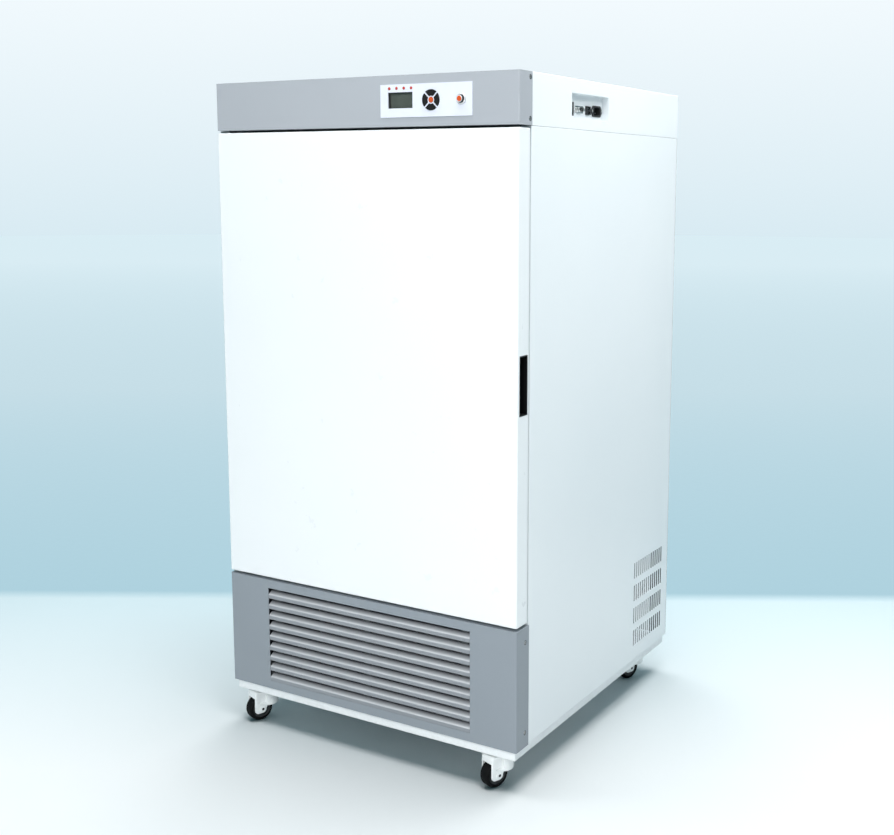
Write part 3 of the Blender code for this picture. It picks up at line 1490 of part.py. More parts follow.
def casters():
    crown_top = CASTER_CROWN
    crown_foot = crown_top - FORK_CROWN
    well = WHEEL_WIDTH / 2 + FORK_CHEEK_PLAY
    half_width = well + FORK_WALL
    x = WIDTH / 2 - CASTER_FROM_SIDE
    front, back = FRONT + CASTER_FROM_FRONT, BACK - CASTER_FROM_BACK
    places = {
        "front_left": (-x, front),
        "front_right": (x, front),
        "rear_left": (-x, back),
        "rear_right": (x, back),
    }
    for corner, place in places.items():
        local = caster_local(place)
        swivel = axis_empty(f"caster_{corner}_axis", (*place, crown_top))

        bm = bmesh.new()
        top = CASTER_HEIGHT - GAP
        outline = rectangle(MOUNT_PLATE, MOUNT_PLATE, place)
        add_prism(bm, outline, top - MOUNT_PLATE_THICKNESS, top, along_z)
        mount = finish(f"caster_{corner}_mount", bm, ZINC)

        def kingpin(bm, place=place):
            add_prism(bm, circle(place, KINGPIN_RADIUS), crown_foot - KINGPIN_HEAD / 2, top - GAP, along_z)

        def kingpin_head(bm, place=place):
            head = crown_foot - GAP
            add_prism(bm, circle(place, KINGPIN_HEAD_RADIUS), head - KINGPIN_HEAD, head, along_z)

        unite(mount, f"caster_{corner}_kingpin", kingpin)
        unite(mount, f"caster_{corner}_kingpin_head", kingpin_head)

        bm = bmesh.new()
        shoulder = math.degrees(math.asin(half_width / FORK_RADIUS))
        plan = arc((0.0, 0.0), FORK_RADIUS, shoulder, 360 - shoulder, 14)
        plan += [(FORK_FRONT, -half_width), (FORK_FRONT, half_width)]
        add_prism(bm, plan, 0.0, crown_top, local)
        bmesh.ops.recalc_face_normals(bm, faces=bm.faces)
        fork = finish(f"caster_{corner}_fork", bm, CASTER_WHITE, swivel, smooth=True)

        def side_view(bm, local=local):
            def across(u, v, w):
                return local(u, w, v)

            add_prism(bm, fork_side(), -2 * FORK_RADIUS, 2 * FORK_RADIUS, across)
            bmesh.ops.recalc_face_normals(bm, faces=bm.faces)

        def arch(bm, local=local):
            def across(u, v, w):
                return local(u, w, v)

            reach = half_width + FORK_LIP_PROUD
            add_prism(bm, fork_lip(), -reach, reach, across)
            bmesh.ops.recalc_face_normals(bm, faces=bm.faces)

        def bosses(bm, local=local):
            def across(u, v, w):
                return local(u, w, v)

            reach = half_width + FORK_BOSS_PROUD
            outline = circle((TRAIL, WHEEL_RADIUS), FORK_BOSS - FORK_LIP_PROUD, 16)
            add_prism(bm, outline, -reach, reach, across)
            bmesh.ops.recalc_face_normals(bm, faces=bm.faces)

        def wheel_well(bm, local=local):
            inner = FORK_RADIUS - FORK_WALL
            shoulder = math.degrees(math.asin(well / inner))
            outline = arc((0.0, 0.0), inner, shoulder, 360 - shoulder, 12)
            outline += [(2 * FORK_FRONT, -well), (2 * FORK_FRONT, well)]
            add_prism(bm, outline, -FORK_CROWN, crown_foot, local)
            bmesh.ops.recalc_face_normals(bm, faces=bm.faces)

        def pin_hole(bm, place=place):
            radius = KINGPIN_RADIUS + AXLE_PLAY
            add_prism(bm, circle(place, radius), crown_foot - FORK_CROWN, crown_top + FORK_CROWN, along_z)

        def axle(bm, local=local):
            def across(u, v, w):
                return local(u, w, v)

            outline = circle((TRAIL, WHEEL_RADIUS), AXLE_RADIUS, 16)
            add_prism(bm, outline, -half_width + GAP, half_width - GAP, across)
            bmesh.ops.recalc_face_normals(bm, faces=bm.faces)

        def axle_eyes(bm, local=local):
            def across(u, v, w):
                return local(u, w, v)

            outline = circle((TRAIL, WHEEL_RADIUS), FORK_AXLE_EYE, 12)
            for side in (-1, 1):
                depths = sorted((side * (half_width - FORK_WALL / 2), side * 2 * half_width))
                add_prism(bm, outline, *depths, across)
            bmesh.ops.recalc_face_normals(bm, faces=bm.faces)

        boolean(fork, helper(f"caster_{corner}_side_view", side_view), "INTERSECT")
        unite(fork, f"caster_{corner}_arch", arch)
        unite(fork, f"caster_{corner}_bosses", bosses)
        cut(fork, f"caster_{corner}_wheel_well", wheel_well)
        cut(fork, f"caster_{corner}_pin_hole", pin_hole)
        unite(fork, f"caster_{corner}_axle", axle)
        cut(fork, f"caster_{corner}_axle_eyes", axle_eyes)

        wheel_axis = axis_empty(f"caster_{corner}_wheel_axis", local(TRAIL, 0.0, WHEEL_RADIUS))
        wheel_axis.parent = swivel
        wheel_axis.matrix_parent_inverse = swivel.matrix_world.inverted()
        half = WHEEL_WIDTH / 2
        bore = AXLE_RADIUS + AXLE_PLAY
        profile = [
            (bore, -half),
            (WHEEL_BOSS, -half),
            (WHEEL_BOSS, -half + WHEEL_DISH),
            (WHEEL_RIM, -half + WHEEL_DISH),
            (WHEEL_RIM + WHEEL_DISH, -half),
            (WHEEL_RADIUS - WHEEL_SHOULDER, -half),
            (WHEEL_RADIUS, -half + WHEEL_SHOULDER),
            (WHEEL_RADIUS, half - WHEEL_SHOULDER),
            (WHEEL_RADIUS - WHEEL_SHOULDER, half),
            (WHEEL_RIM + WHEEL_DISH, half),
            (WHEEL_RIM, half - WHEEL_DISH),
            (WHEEL_BOSS, half - WHEEL_DISH),
            (WHEEL_BOSS, half),
            (bore, half),
        ]

        def rolling(u, v, w, local=local):
            return local(TRAIL + u, w, WHEEL_RADIUS + v)

        bm = bmesh.new()
        add_turned(bm, profile, ROUND, rolling)
        bmesh.ops.recalc_face_normals(bm, faces=bm.faces)
        finish(f"caster_{corner}_wheel", bm, TYRE_BLACK, wheel_axis, smooth=True)


clear_scene()
WHITE = material("white_paint", (0.90, 0.93, 0.95), 0.35)
GREY = material("grey_paint", (0.47, 0.49, 0.54), 0.45)
STEEL = material("stainless_steel", (0.62, 0.63, 0.64), 0.28, 1.0)
ZINC = material("zinc_plate", (0.55, 0.56, 0.57), 0.4, 1.0)
NICKEL = material("nickel_shell", (0.60, 0.59, 0.56), 0.3, 1.0)
ALUMINIUM = material("aluminium_fins", (0.70, 0.71, 0.72), 0.4, 1.0)
FOAM = material("foam", (0.86, 0.80, 0.60), 0.95)
PALE_PLASTIC = material("pale_plastic", (0.85, 0.87, 0.88), 0.45)
LABEL_WHITE = material("label_white", (0.85, 0.88, 0.93), 0.4)
LCD_GLASS = material("lcd_glass", (0.12, 0.14, 0.11), 0.2)
RED_LENS = material("red_lens", (0.70, 0.06, 0.04), 0.25)
ORANGE = material("orange_cap", (0.85, 0.16, 0.03), 0.35)
BLACK = material("black_plastic", (0.03, 0.03, 0.035), 0.45)
BLACK_STEEL = material("black_enamel", (0.02, 0.02, 0.02), 0.3)
BOARD_GREEN = material("board_green", (0.05, 0.22, 0.10), 0.5)
SEAL = material("soft_seal", (0.80, 0.81, 0.82), 0.7)
CASTER_WHITE = material("caster_white", (0.86, 0.88, 0.88), 0.4)
TYRE_BLACK = material("tyre_black", (0.02, 0.02, 0.02), 0.6)

control_cutter = helper("control_cutter", control_holes)
base_tray()
side_panels()
rear_panel()
top_cover()
fascias()
air_grille()
lower_deck()
upper_deck()
insulation()
inner_liner()
front_frame()
shelves()
duct_panel()
evaporator()
temperature_probe()
fan(
    "circulation_fan",
    (0.0, ROOF_OF_CHAMBER - DUCT_FAN_BELOW_ROOF),
    CHAMBER_FAN_SIZE,
    CHAMBER_FAN_DEPTH,
    CHAMBER_FAN_MOTOR,
    DUCT_FRONT + DUCT_SHEET + GAP,
)
condenser_back = condenser()
fan(
    "condenser_fan",
    (0.0, COMPARTMENT_FOOT + CONDENSER_FAN_SIZE / 2),
    CONDENSER_FAN_SIZE,
    CONDENSER_FAN_DEPTH,
    CONDENSER_FAN_MOTOR,
    condenser_back + GAP,
)
compressor()
control_plate()
lcd_module()
indicator_lamps()
keys()
power_switch()
controller_board()
connector_pocket()
side_switch()
serial_port()
signal_socket()
mains_inlet()
door()
hinge_brackets()
casters()
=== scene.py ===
"""Looks of a refrigerated laboratory incubator on casters.

Enamelled steel sheets, a louvred air intake, the control panel, the connector pocket, and behind
the door a stainless chamber with wire shelves and its fan.
"""

import json
import math

import bmesh
import bpy
from mathutils import Matrix, Vector

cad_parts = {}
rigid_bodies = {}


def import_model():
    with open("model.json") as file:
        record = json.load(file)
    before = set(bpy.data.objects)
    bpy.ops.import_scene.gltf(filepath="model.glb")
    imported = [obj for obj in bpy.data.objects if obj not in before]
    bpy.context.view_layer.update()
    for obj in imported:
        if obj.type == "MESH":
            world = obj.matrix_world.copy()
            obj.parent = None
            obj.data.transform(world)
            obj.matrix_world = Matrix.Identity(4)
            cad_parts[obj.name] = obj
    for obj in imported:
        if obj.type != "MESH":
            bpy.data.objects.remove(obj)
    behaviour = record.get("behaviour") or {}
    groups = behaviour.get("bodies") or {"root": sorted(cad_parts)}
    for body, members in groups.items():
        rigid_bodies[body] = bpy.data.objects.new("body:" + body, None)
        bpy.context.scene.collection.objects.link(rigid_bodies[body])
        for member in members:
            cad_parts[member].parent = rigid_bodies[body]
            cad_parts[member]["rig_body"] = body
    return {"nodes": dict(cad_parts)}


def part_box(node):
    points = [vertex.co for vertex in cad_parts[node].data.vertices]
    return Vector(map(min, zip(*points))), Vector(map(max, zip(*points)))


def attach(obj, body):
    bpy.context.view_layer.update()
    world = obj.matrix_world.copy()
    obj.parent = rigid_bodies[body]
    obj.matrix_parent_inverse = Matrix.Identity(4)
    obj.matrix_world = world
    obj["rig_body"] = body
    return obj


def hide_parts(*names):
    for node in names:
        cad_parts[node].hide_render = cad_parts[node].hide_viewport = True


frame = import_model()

scene = bpy.context.scene
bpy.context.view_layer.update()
MM = 0.001
UP = Vector((0.0, 0.0, 1.0))
BODY_OF = {name: made["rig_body"] for name, made in frame["nodes"].items()}


# Shader nodes

def add_node(tree, kind, inputs=None, **settings):
    """One node with its settings. An input is a value or another node's socket."""
    made = tree.nodes.new(kind)
    for key, value in settings.items():
        setattr(made, key, value)
    for key, value in (inputs or {}).items():
        if isinstance(value, bpy.types.NodeSocket):
            tree.links.new(value, made.inputs[key])
        else:
            made.inputs[key].default_value = value
    return made


def noise(tree, vector, scale, detail=2.0, roughness=0.5):
    inputs = {"Vector": vector, "Scale": scale, "Detail": detail, "Roughness": roughness}
    return add_node(tree, "ShaderNodeTexNoise", inputs).outputs[0]


def stretched(tree, vector, scale):
    inputs = {"Vector": vector, "Scale": scale}
    return add_node(tree, "ShaderNodeMapping", inputs).outputs[0]


def spread(tree, value, low, high, start=0.0, end=1.0):
    """A value between start and end, spread to run from low to high."""
    inputs = {"Value": value, "From Min": start, "From Max": end, "To Min": low, "To Max": high}
    return add_node(tree, "ShaderNodeMapRange", inputs, clamp=True).outputs[0]


def maths(tree, operation, first, second=0.0):
    return add_node(tree, "ShaderNodeMath", {0: first, 1: second}, operation=operation).outputs[0]


def blended(tree, factor, first, second):
    """Two colours mixed by a factor."""
    made = add_node(tree, "ShaderNodeMix", data_type="RGBA")
    for index, value in ((0, factor), (6, first), (7, second)):
        if isinstance(value, bpy.types.NodeSocket):
            tree.links.new(value, made.inputs[index])
        elif index:
            made.inputs[index].default_value = (*value, 1.0)
        else:
            made.inputs[index].default_value = value
    return made.outputs[2]


def new_group(name, kind, given, made):
    """An empty node group with its named inputs and outputs."""
    tree = bpy.data.node_groups.new(name, kind)
    for label, socket, default in given:
        item = tree.interface.new_socket(label, in_out="INPUT", socket_type=socket)
        if default is not None:
            item.default_value = default
    for label, socket in made:
        tree.interface.new_socket(label, in_out="OUTPUT", socket_type=socket)
    return tree, tree.nodes.new("NodeGroupInput").outputs, tree.nodes.new("NodeGroupOutput").inputs


def place_group(tree, group, inputs):
    return add_node(tree, "ShaderNodeGroup", inputs, node_tree=group).outputs


def sprayed_skin():
    """Baked enamel: the fine orange peel of its skin, and slow drifts of tone and gloss."""
    tree, given, result = new_group(
        "sprayed_skin",
        "ShaderNodeTree",
        [
            ("Vector", "NodeSocketVector", None),
            ("Peel", "NodeSocketFloat", 420.0),
            ("Drift", "NodeSocketFloat", 2.2),
        ],
        [("Height", "NodeSocketFloat"), ("Tone", "NodeSocketFloat"), ("Gloss", "NodeSocketFloat")],
    )
    peel = noise(tree, given["Vector"], given["Peel"], 2.0, 0.4)
    fine = noise(tree, given["Vector"], maths(tree, "MULTIPLY", given["Peel"], 4.0), 1.0)
    height = maths(tree, "ADD", peel, maths(tree, "MULTIPLY", fine, 0.3))
    drift = noise(tree, given["Vector"], given["Drift"], 3.0)
    mottle = noise(tree, given["Vector"], maths(tree, "MULTIPLY", given["Drift"], 14.0), 4.0, 0.6)
    tree.links.new(height, result["Height"])
    tree.links.new(spread(tree, drift, 0.0, 1.0, 0.35, 0.65), result["Tone"])
    tree.links.new(spread(tree, mottle, 0.0, 1.0, 0.3, 0.7), result["Gloss"])
    return tree


def moulded_grain():
    """Moulded plastic: a spark-eroded grain with a little uneven sheen."""
    tree, given, result = new_group(
        "moulded_grain",
        "ShaderNodeTree",
        [("Vector", "NodeSocketVector", None), ("Grain", "NodeSocketFloat", 1500.0)],
        [("Height", "NodeSocketFloat"), ("Sheen", "NodeSocketFloat")],
    )
    grain = noise(tree, given["Vector"], given["Grain"], 3.0, 0.6)
    sheen = noise(tree, given["Vector"], maths(tree, "MULTIPLY", given["Grain"], 0.02), 3.0)
    tree.links.new(grain, result["Height"])
    tree.links.new(spread(tree, sheen, 0.0, 1.0, 0.3, 0.7), result["Sheen"])
    return tree


def brushed_sheet():
    """Rolled and brushed sheet: long streaks along the sheet, level on walls, crosswise on floors."""
    tree, given, result = new_group(
        "brushed_sheet",
        "ShaderNodeTree",
        [
            ("Vector", "NodeSocketVector", None),
            ("Facing", "NodeSocketVector", None),
            ("Streaks", "NodeSocketFloat", 1.0),
        ],
        [("Height", "NodeSocketFloat"), ("Streak", "NodeSocketFloat"), ("Cloud", "NodeSocketFloat")],
    )
    wall = noise(tree, stretched(tree, given["Vector"], (5.0, 5.0, 900.0)), given["Streaks"], 3.0, 0.6)
    floor = noise(tree, stretched(tree, given["Vector"], (5.0, 900.0, 5.0)), given["Streaks"], 3.0, 0.6)
    parts = add_node(tree, "ShaderNodeSeparateXYZ", {"Vector": given["Facing"]})
    level = maths(tree, "GREATER_THAN", maths(tree, "ABSOLUTE", parts.outputs[2]), 0.7)
    both = add_node(tree, "ShaderNodeMix", {0: level, 2: wall, 3: floor}, data_type="FLOAT").outputs[0]
    cloud = noise(tree, given["Vector"], 6.0, 4.0, 0.6)
    tree.links.new(both, result["Height"])
    tree.links.new(spread(tree, both, 0.0, 1.0, 0.3, 0.7), result["Streak"])
    tree.links.new(spread(tree, cloud, 0.0, 1.0, 0.35, 0.65), result["Cloud"])
    return tree


def floor_dust():
    """Dust that settles low down and thins out with height, broken up by noise."""
    tree, given, result = new_group(
        "floor_dust",
        "ShaderNodeTree",
        [
            ("Vector", "NodeSocketVector", None),
            ("Foot", "NodeSocketFloat", 0.0),
            ("Reach", "NodeSocketFloat", 0.1),
        ],
        [("Mask", "NodeSocketFloat")],
    )
    parts = add_node(tree, "ShaderNodeSeparateXYZ", {"Vector": given["Vector"]})
    above = maths(tree, "SUBTRACT", parts.outputs[2], given["Foot"])
    fade = maths(tree, "SUBTRACT", 1.0, maths(tree, "DIVIDE", above, given["Reach"]))
    patches = spread(tree, noise(tree, given["Vector"], 90.0, 4.0, 0.65), 0.0, 1.0, 0.4, 0.7)
    mask = maths(tree, "MULTIPLY", maths(tree, "MAXIMUM", fade, 0.0), patches)
    tree.links.new(mask, result["Mask"])
    return tree


def edge_band():
    """The band along the edges of a box-shaped piece, where handling dulls or brightens it."""
    tree, given, result = new_group(
        "edge_band",
        "ShaderNodeTree",
        [
            ("Vector", "NodeSocketVector", None),
            ("Low", "NodeSocketVector", None),
            ("High", "NodeSocketVector", None),
            ("Width", "NodeSocketFloat", 0.003),
        ],
        [("Mask", "NodeSocketFloat")],
    )

    def vector(operation, first, second):
        inputs = {0: first, 1: second}
        return add_node(tree, "ShaderNodeVectorMath", inputs, operation=operation).outputs[0]

    from_low = vector("SUBTRACT", given["Vector"], given["Low"])
    from_high = vector("SUBTRACT", given["High"], given["Vector"])
    near = add_node(tree, "ShaderNodeSeparateXYZ", {0: vector("MINIMUM", from_low, from_high)}).outputs
    lesser = maths(tree, "MINIMUM", near[0], near[1])
    greater = maths(tree, "MAXIMUM", near[0], near[1])
    second = maths(tree, "MAXIMUM", lesser, maths(tree, "MINIMUM", greater, near[2]))
    ragged = maths(tree, "MULTIPLY", noise(tree, given["Vector"], 220.0, 3.0), given["Width"])
    share = maths(tree, "DIVIDE", maths(tree, "SUBTRACT", second, ragged), given["Width"])
    tree.links.new(spread(tree, share, 1.0, 0.0), result["Mask"])
    return tree


SPRAYED = sprayed_skin()
MOULDED = moulded_grain()
BRUSHED = brushed_sheet()
DUST = floor_dust()
EDGES = edge_band()


# Finishes

def new_look(name):
    made = bpy.data.materials.new(name)
    made.use_nodes = True
    tree = made.node_tree
    place = tree.nodes.new("ShaderNodeTexCoord").outputs
    return made, tree, tree.nodes["Principled BSDF"], place


def fill(tree, shader, inputs):
    for key, value in inputs.items():
        if isinstance(value, bpy.types.NodeSocket):
            tree.links.new(value, shader.inputs[key])
        elif isinstance(value, tuple) and len(value) == 3:
            shader.inputs[key].default_value = (*value, 1.0)
        else:
            shader.inputs[key].default_value = value


def bumped(tree, height, depth, strength=1.0):
    inputs = {"Height": height, "Distance": depth, "Strength": strength}
    return add_node(tree, "ShaderNodeBump", inputs).outputs[0]


def enamel(name, colour, shade, roughness, box=None, dusty=None, coat=0.0, depth=0.012 * MM, thin=None):
    """Baked enamel on steel sheet.

    Box marks the corners whose edges wear, dusty the dust's foot and reach, thin the front and the
    depth over which a painted shade deepens inward, with a painted highlight on what faces up.
    """
    made, tree, shader, place = new_look(name)
    skin = place_group(tree, SPRAYED, {"Vector": place["Object"]})
    base = blended(tree, skin["Tone"], colour, shade)
    rough = spread(tree, skin["Gloss"], roughness - 0.03, roughness + 0.04)
    if box:
        inputs = {"Vector": place["Object"], "Low": box[0], "High": box[1], "Width": 2.5 * MM}
        worn = place_group(tree, EDGES, inputs)["Mask"]
        rubbed = tuple(part * 0.93 for part in colour)
        base = blended(tree, maths(tree, "MULTIPLY", worn, 0.5), base, rubbed)
        rough = maths(tree, "ADD", rough, maths(tree, "MULTIPLY", worn, 0.06))
    if dusty:
        inputs = {"Vector": place["Object"], "Foot": dusty[0], "Reach": dusty[1]}
        dust = place_group(tree, DUST, inputs)["Mask"]
        base = blended(tree, maths(tree, "MULTIPLY", dust, 0.25), base, (0.55, 0.54, 0.52))
        rough = maths(tree, "ADD", rough, maths(tree, "MULTIPLY", dust, 0.2))
    if thin:
        # Painted highlight: faces that look up are made paler, as if lit from above.
        up = add_node(tree, "ShaderNodeSeparateXYZ", {0: place["Normal"]}).outputs[2]
        base = blended(tree, spread(tree, up, 0.0, 1.0, 0.1, 0.6), base, (0.58, 0.59, 0.615))
        # Painted shade: darker and bluer further behind the front, where the blade above shades it.
        inward = add_node(tree, "ShaderNodeSeparateXYZ", {0: place["Object"]}).outputs[1]
        share = spread(tree, inward, 0.0, 0.86, thin[0], thin[0] + thin[1])
        base = blended(tree, share, base, (0.06, 0.065, 0.08))
    normal = bumped(tree, skin["Height"], depth)
    fill(tree, shader, {"Base Color": base, "Roughness": rough, "Normal": normal})
    fill(tree, shader, {"Coat Weight": coat, "Coat Roughness": 0.12, "Specular IOR Level": 0.5})
    return made


def plastic(
    name,
    colour,
    roughness,
    grain=1500.0,
    depth=0.02 * MM,
    shade=0.85,
    dusty=None,
    coat=0.0,
    specular=0.5,
):
    """Moulded plastic or rubber."""
    made, tree, shader, place = new_look(name)
    skin = place_group(tree, MOULDED, {"Vector": place["Object"], "Grain": grain})
    base = blended(tree, skin["Sheen"], colour, tuple(part * shade for part in colour))
    rough = spread(tree, skin["Sheen"], roughness - 0.05, roughness + 0.06)
    if dusty:
        inputs = {"Vector": place["Object"], "Foot": dusty[0], "Reach": dusty[1]}
        dust = place_group(tree, DUST, inputs)["Mask"]
        base = blended(tree, maths(tree, "MULTIPLY", dust, 0.45), base, (0.42, 0.40, 0.37))
        rough = maths(tree, "ADD", rough, maths(tree, "MULTIPLY", dust, 0.3))
    fill(tree, shader, {"Base Color": base, "Roughness": rough, "Coat Weight": coat})
    fill(tree, shader, {"Normal": bumped(tree, skin["Height"], depth), "Coat Roughness": 0.1})
    fill(tree, shader, {"Specular IOR Level": specular})
    return made


def metal(name, colour, shade, roughness, streaks=1.0, depth=0.006 * MM, anisotropic=0.0):
    """Bare metal with the streaks of rolling, drawing or brushing."""
    made, tree, shader, place = new_look(name)
    inputs = {"Vector": place["Object"], "Facing": place["Normal"], "Streaks": streaks}
    sheet = place_group(tree, BRUSHED, inputs)
    cloudy = blended(tree, sheet["Cloud"], colour, shade)
    base = blended(tree, maths(tree, "MULTIPLY", sheet["Streak"], 0.35), cloudy, shade)
    rough = spread(tree, sheet["Streak"], roughness - 0.06, roughness + 0.08)
    fill(tree, shader, {"Base Color": base, "Roughness": rough, "Metallic": 1.0})
    fill(tree, shader, {"Normal": bumped(tree, sheet["Height"], depth), "Anisotropic": anisotropic})
    return made


def foam_look():
    made, tree, shader, place = new_look("foamed_insulation")
    cells = add_node(
        tree, "ShaderNodeTexVoronoi", {"Vector": place["Object"], "Scale": 320.0}, feature="F1"
    ).outputs[0]
    patch = noise(tree, place["Object"], 14.0, 4.0)
    base = blended(tree, patch, (0.86, 0.74, 0.44), (0.74, 0.58, 0.30))
    fill(tree, shader, {"Base Color": base, "Roughness": spread(tree, cells, 0.85, 1.0)})
    fill(tree, shader, {"Normal": bumped(tree, cells, 0.5 * MM)})
    return made


def display_look():
    """The switched-off liquid-crystal screen: grey-green with patches of painted sheen, a fine grid of pixels
    under gloss.
    """
    made, tree, shader, place = new_look("display_glass")
    grid = stretched(tree, place["Object"], (1700.0, 1.0, 1700.0))
    parts = add_node(tree, "ShaderNodeSeparateXYZ", {"Vector": grid}).outputs
    across = maths(tree, "PINGPONG", parts[0], 0.5)
    down = maths(tree, "PINGPONG", parts[2], 0.5)
    line = maths(tree, "LESS_THAN", maths(tree, "MINIMUM", across, down), 0.06)
    # Lighter and darker patches that stand in for the glass's soft sheen: painted sheen; they also vary the
    # gloss.
    painted_sheen = noise(tree, place["Object"], 30.0, 3.0)
    base = blended(tree, painted_sheen, (0.055, 0.066, 0.056), (0.13, 0.145, 0.125))
    base = blended(tree, maths(tree, "MULTIPLY", line, 0.3), base, (0.045, 0.052, 0.043))
    fill(tree, shader, {"Base Color": base, "Roughness": spread(tree, painted_sheen, 0.18, 0.3)})
    fill(tree, shader, {"Coat Weight": 0.7, "Coat Roughness": 0.06})
    return made


def lamp_look():
    made, tree, shader, place = new_look("red_lamp_lens")
    flute = add_node(
        tree, "ShaderNodeTexVoronoi", {"Vector": place["Object"], "Scale": 1800.0}, feature="F1"
    ).outputs[0]
    base = blended(tree, flute, (0.38, 0.02, 0.025), (0.62, 0.09, 0.06))
    fill(tree, shader, {"Base Color": base, "Roughness": spread(tree, flute, 0.12, 0.25)})
    fill(tree, shader, {"Emission Color": base, "Emission Strength": 0.03, "Coat Weight": 0.8})
    fill(tree, shader, {"Normal": bumped(tree, flute, 0.08 * MM)})
    return made


def circuit_look():
    made, tree, shader, place = new_look("circuit_board")
    flat = stretched(tree, place["Object"], (260.0, 1.0, 260.0))
    tracks = add_node(
        tree, "ShaderNodeTexVoronoi", {"Vector": flat, "Scale": 1.0}, distance="MANHATTAN"
    ).outputs[0]
    copper = maths(tree, "LESS_THAN", maths(tree, "PINGPONG", tracks, 0.18), 0.035)
    base = blended(tree, maths(tree, "MULTIPLY", copper, 0.6), (0.02, 0.13, 0.05), (0.09, 0.27, 0.10))
    fill(tree, shader, {"Base Color": base, "Roughness": spread(tree, copper, 0.38, 0.28)})
    fill(tree, shader, {"Normal": bumped(tree, copper, 0.03 * MM), "Coat Weight": 0.4})
    return made


def film_look():
    """The printed polyester film of the control panel, a little bluer than the enamel."""
    made, tree, shader, place = new_look("panel_film")
    skin = place_group(tree, MOULDED, {"Vector": place["Object"], "Grain": 2600.0})
    base = blended(tree, skin["Sheen"], (0.78, 0.80, 0.90), (0.75, 0.775, 0.88))
    fill(tree, shader, {"Base Color": base, "Roughness": spread(tree, skin["Sheen"], 0.3, 0.38)})
    fill(tree, shader, {"Normal": bumped(tree, skin["Height"], 0.006 * MM)})
    return made


def box_of(*names):
    """The corners that hold all these nodes."""
    corners = [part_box(name) for name in names]
    low = tuple(min(corner[0][axis] for corner in corners) for axis in range(3))
    high = tuple(max(corner[1][axis] for corner in corners) for axis in range(3))
    return low, high


WHITE_TONE = (0.87, 0.90, 0.92)
WHITE_SHADE = (0.84, 0.875, 0.90)
WHITE = enamel("white_enamel", WHITE_TONE, WHITE_SHADE, 0.32)
DOOR_WHITE = enamel("door_enamel", (0.89, 0.91, 0.925), (0.87, 0.895, 0.915), 0.30, box_of("door_skin"))
TRAY_DUST = (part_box("base_tray")[0].z, 0.02)
TRAY_WHITE = enamel(
    "tray_enamel", (0.93, 0.95, 0.96), (0.91, 0.93, 0.945), 0.36, box_of("base_tray"), TRAY_DUST
)
# Near-black finish for the faces that look into the cabinet, the screw cups and the louvre straps: painted
# shade.
INSIDE_SHADE = enamel("dark_primer", (0.075, 0.08, 0.085), (0.06, 0.064, 0.068), 0.6)
GREY_TONE = (0.42, 0.44, 0.475)
GREY_SHADE = (0.40, 0.42, 0.455)
# The lower fascia is the upper fascia's grey enamel made darker, as it gets less light: painted shade.
SHADED_GREY_TONE = (0.28, 0.31, 0.345)
SHADED_GREY_DRIFT = (0.265, 0.295, 0.33)
UPPER_GREY = enamel("upper_fascia_enamel", GREY_TONE, GREY_SHADE, 0.40, box_of("upper_fascia"))
SHADED_LOWER_GREY = enamel("lower_fascia_enamel", SHADED_GREY_TONE, SHADED_GREY_DRIFT, 0.40, box_of("lower_fascia"))
INTAKE_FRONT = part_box("air_grille")[0].y
# The louvres get painted shade that deepens over 8 mm from 1.6 mm behind their front, and a painted highlight
# on what faces up; their grey is darkened like the lower fascia's, painted shade too.
LOUVRE_PAINTED_LIGHT = (INTAKE_FRONT + 1.6 * MM, 8.0 * MM)
LOUVRE_GREY = enamel(
    "louvre_enamel", (0.27, 0.285, 0.31), (0.25, 0.265, 0.29), 0.30, coat=0.25, thin=LOUVRE_PAINTED_LIGHT
)
STEEL = metal("brushed_stainless", (0.66, 0.66, 0.65), (0.56, 0.565, 0.57), 0.27, 1.0, anisotropic=0.35)
WIRE_STEEL = metal("polished_wire", (0.74, 0.74, 0.73), (0.62, 0.62, 0.62), 0.16, 0.6)
ZINC = metal("zinc_plated_steel", (0.60, 0.60, 0.57), (0.47, 0.48, 0.48), 0.36, 0.4)
SCREW_STEEL = metal("screw_steel", (0.55, 0.55, 0.54), (0.40, 0.40, 0.40), 0.25, 2.0)
NICKEL = metal("nickel_shell", (0.80, 0.80, 0.79), (0.68, 0.68, 0.67), 0.24, 2.0)
SATIN = plastic("satin_ring", (0.70, 0.71, 0.73), 0.26, 2600.0, 0.004 * MM, 0.94, coat=0.4)
ALUMINIUM = metal("fin_aluminium", (0.75, 0.76, 0.77), (0.62, 0.63, 0.65), 0.34, 1.5)
COPPER = metal("copper_pipe", (0.80, 0.44, 0.27), (0.58, 0.30, 0.18), 0.28, 0.8)
FOAM = foam_look()
DISPLAY = display_look()
LAMP = lamp_look()
CIRCUIT = circuit_look()
FILM = film_look()
PALE_PLASTIC = plastic("pale_moulding", (0.82, 0.84, 0.85), 0.38, 1200.0, 0.015 * MM, 0.96)
BLACK = plastic("black_moulding", (0.022, 0.023, 0.025), 0.42, 1300.0, 0.03 * MM)
GRIP_BLACK = plastic("grip_moulding", (0.004, 0.0045, 0.005), 0.42, 1100.0, 0.03 * MM, specular=0.3)
KEY_RUBBER = plastic("key_rubber", (0.007, 0.007, 0.008), 0.55, 2400.0, 0.01 * MM, specular=0.3)
KEY_PRINT = plastic("key_print", (0.05, 0.052, 0.055), 0.5, 2400.0, 0.005 * MM)
ORANGE = plastic("orange_cap", (0.66, 0.095, 0.018), 0.30, 2200.0, 0.006 * MM, 0.92, coat=0.5)
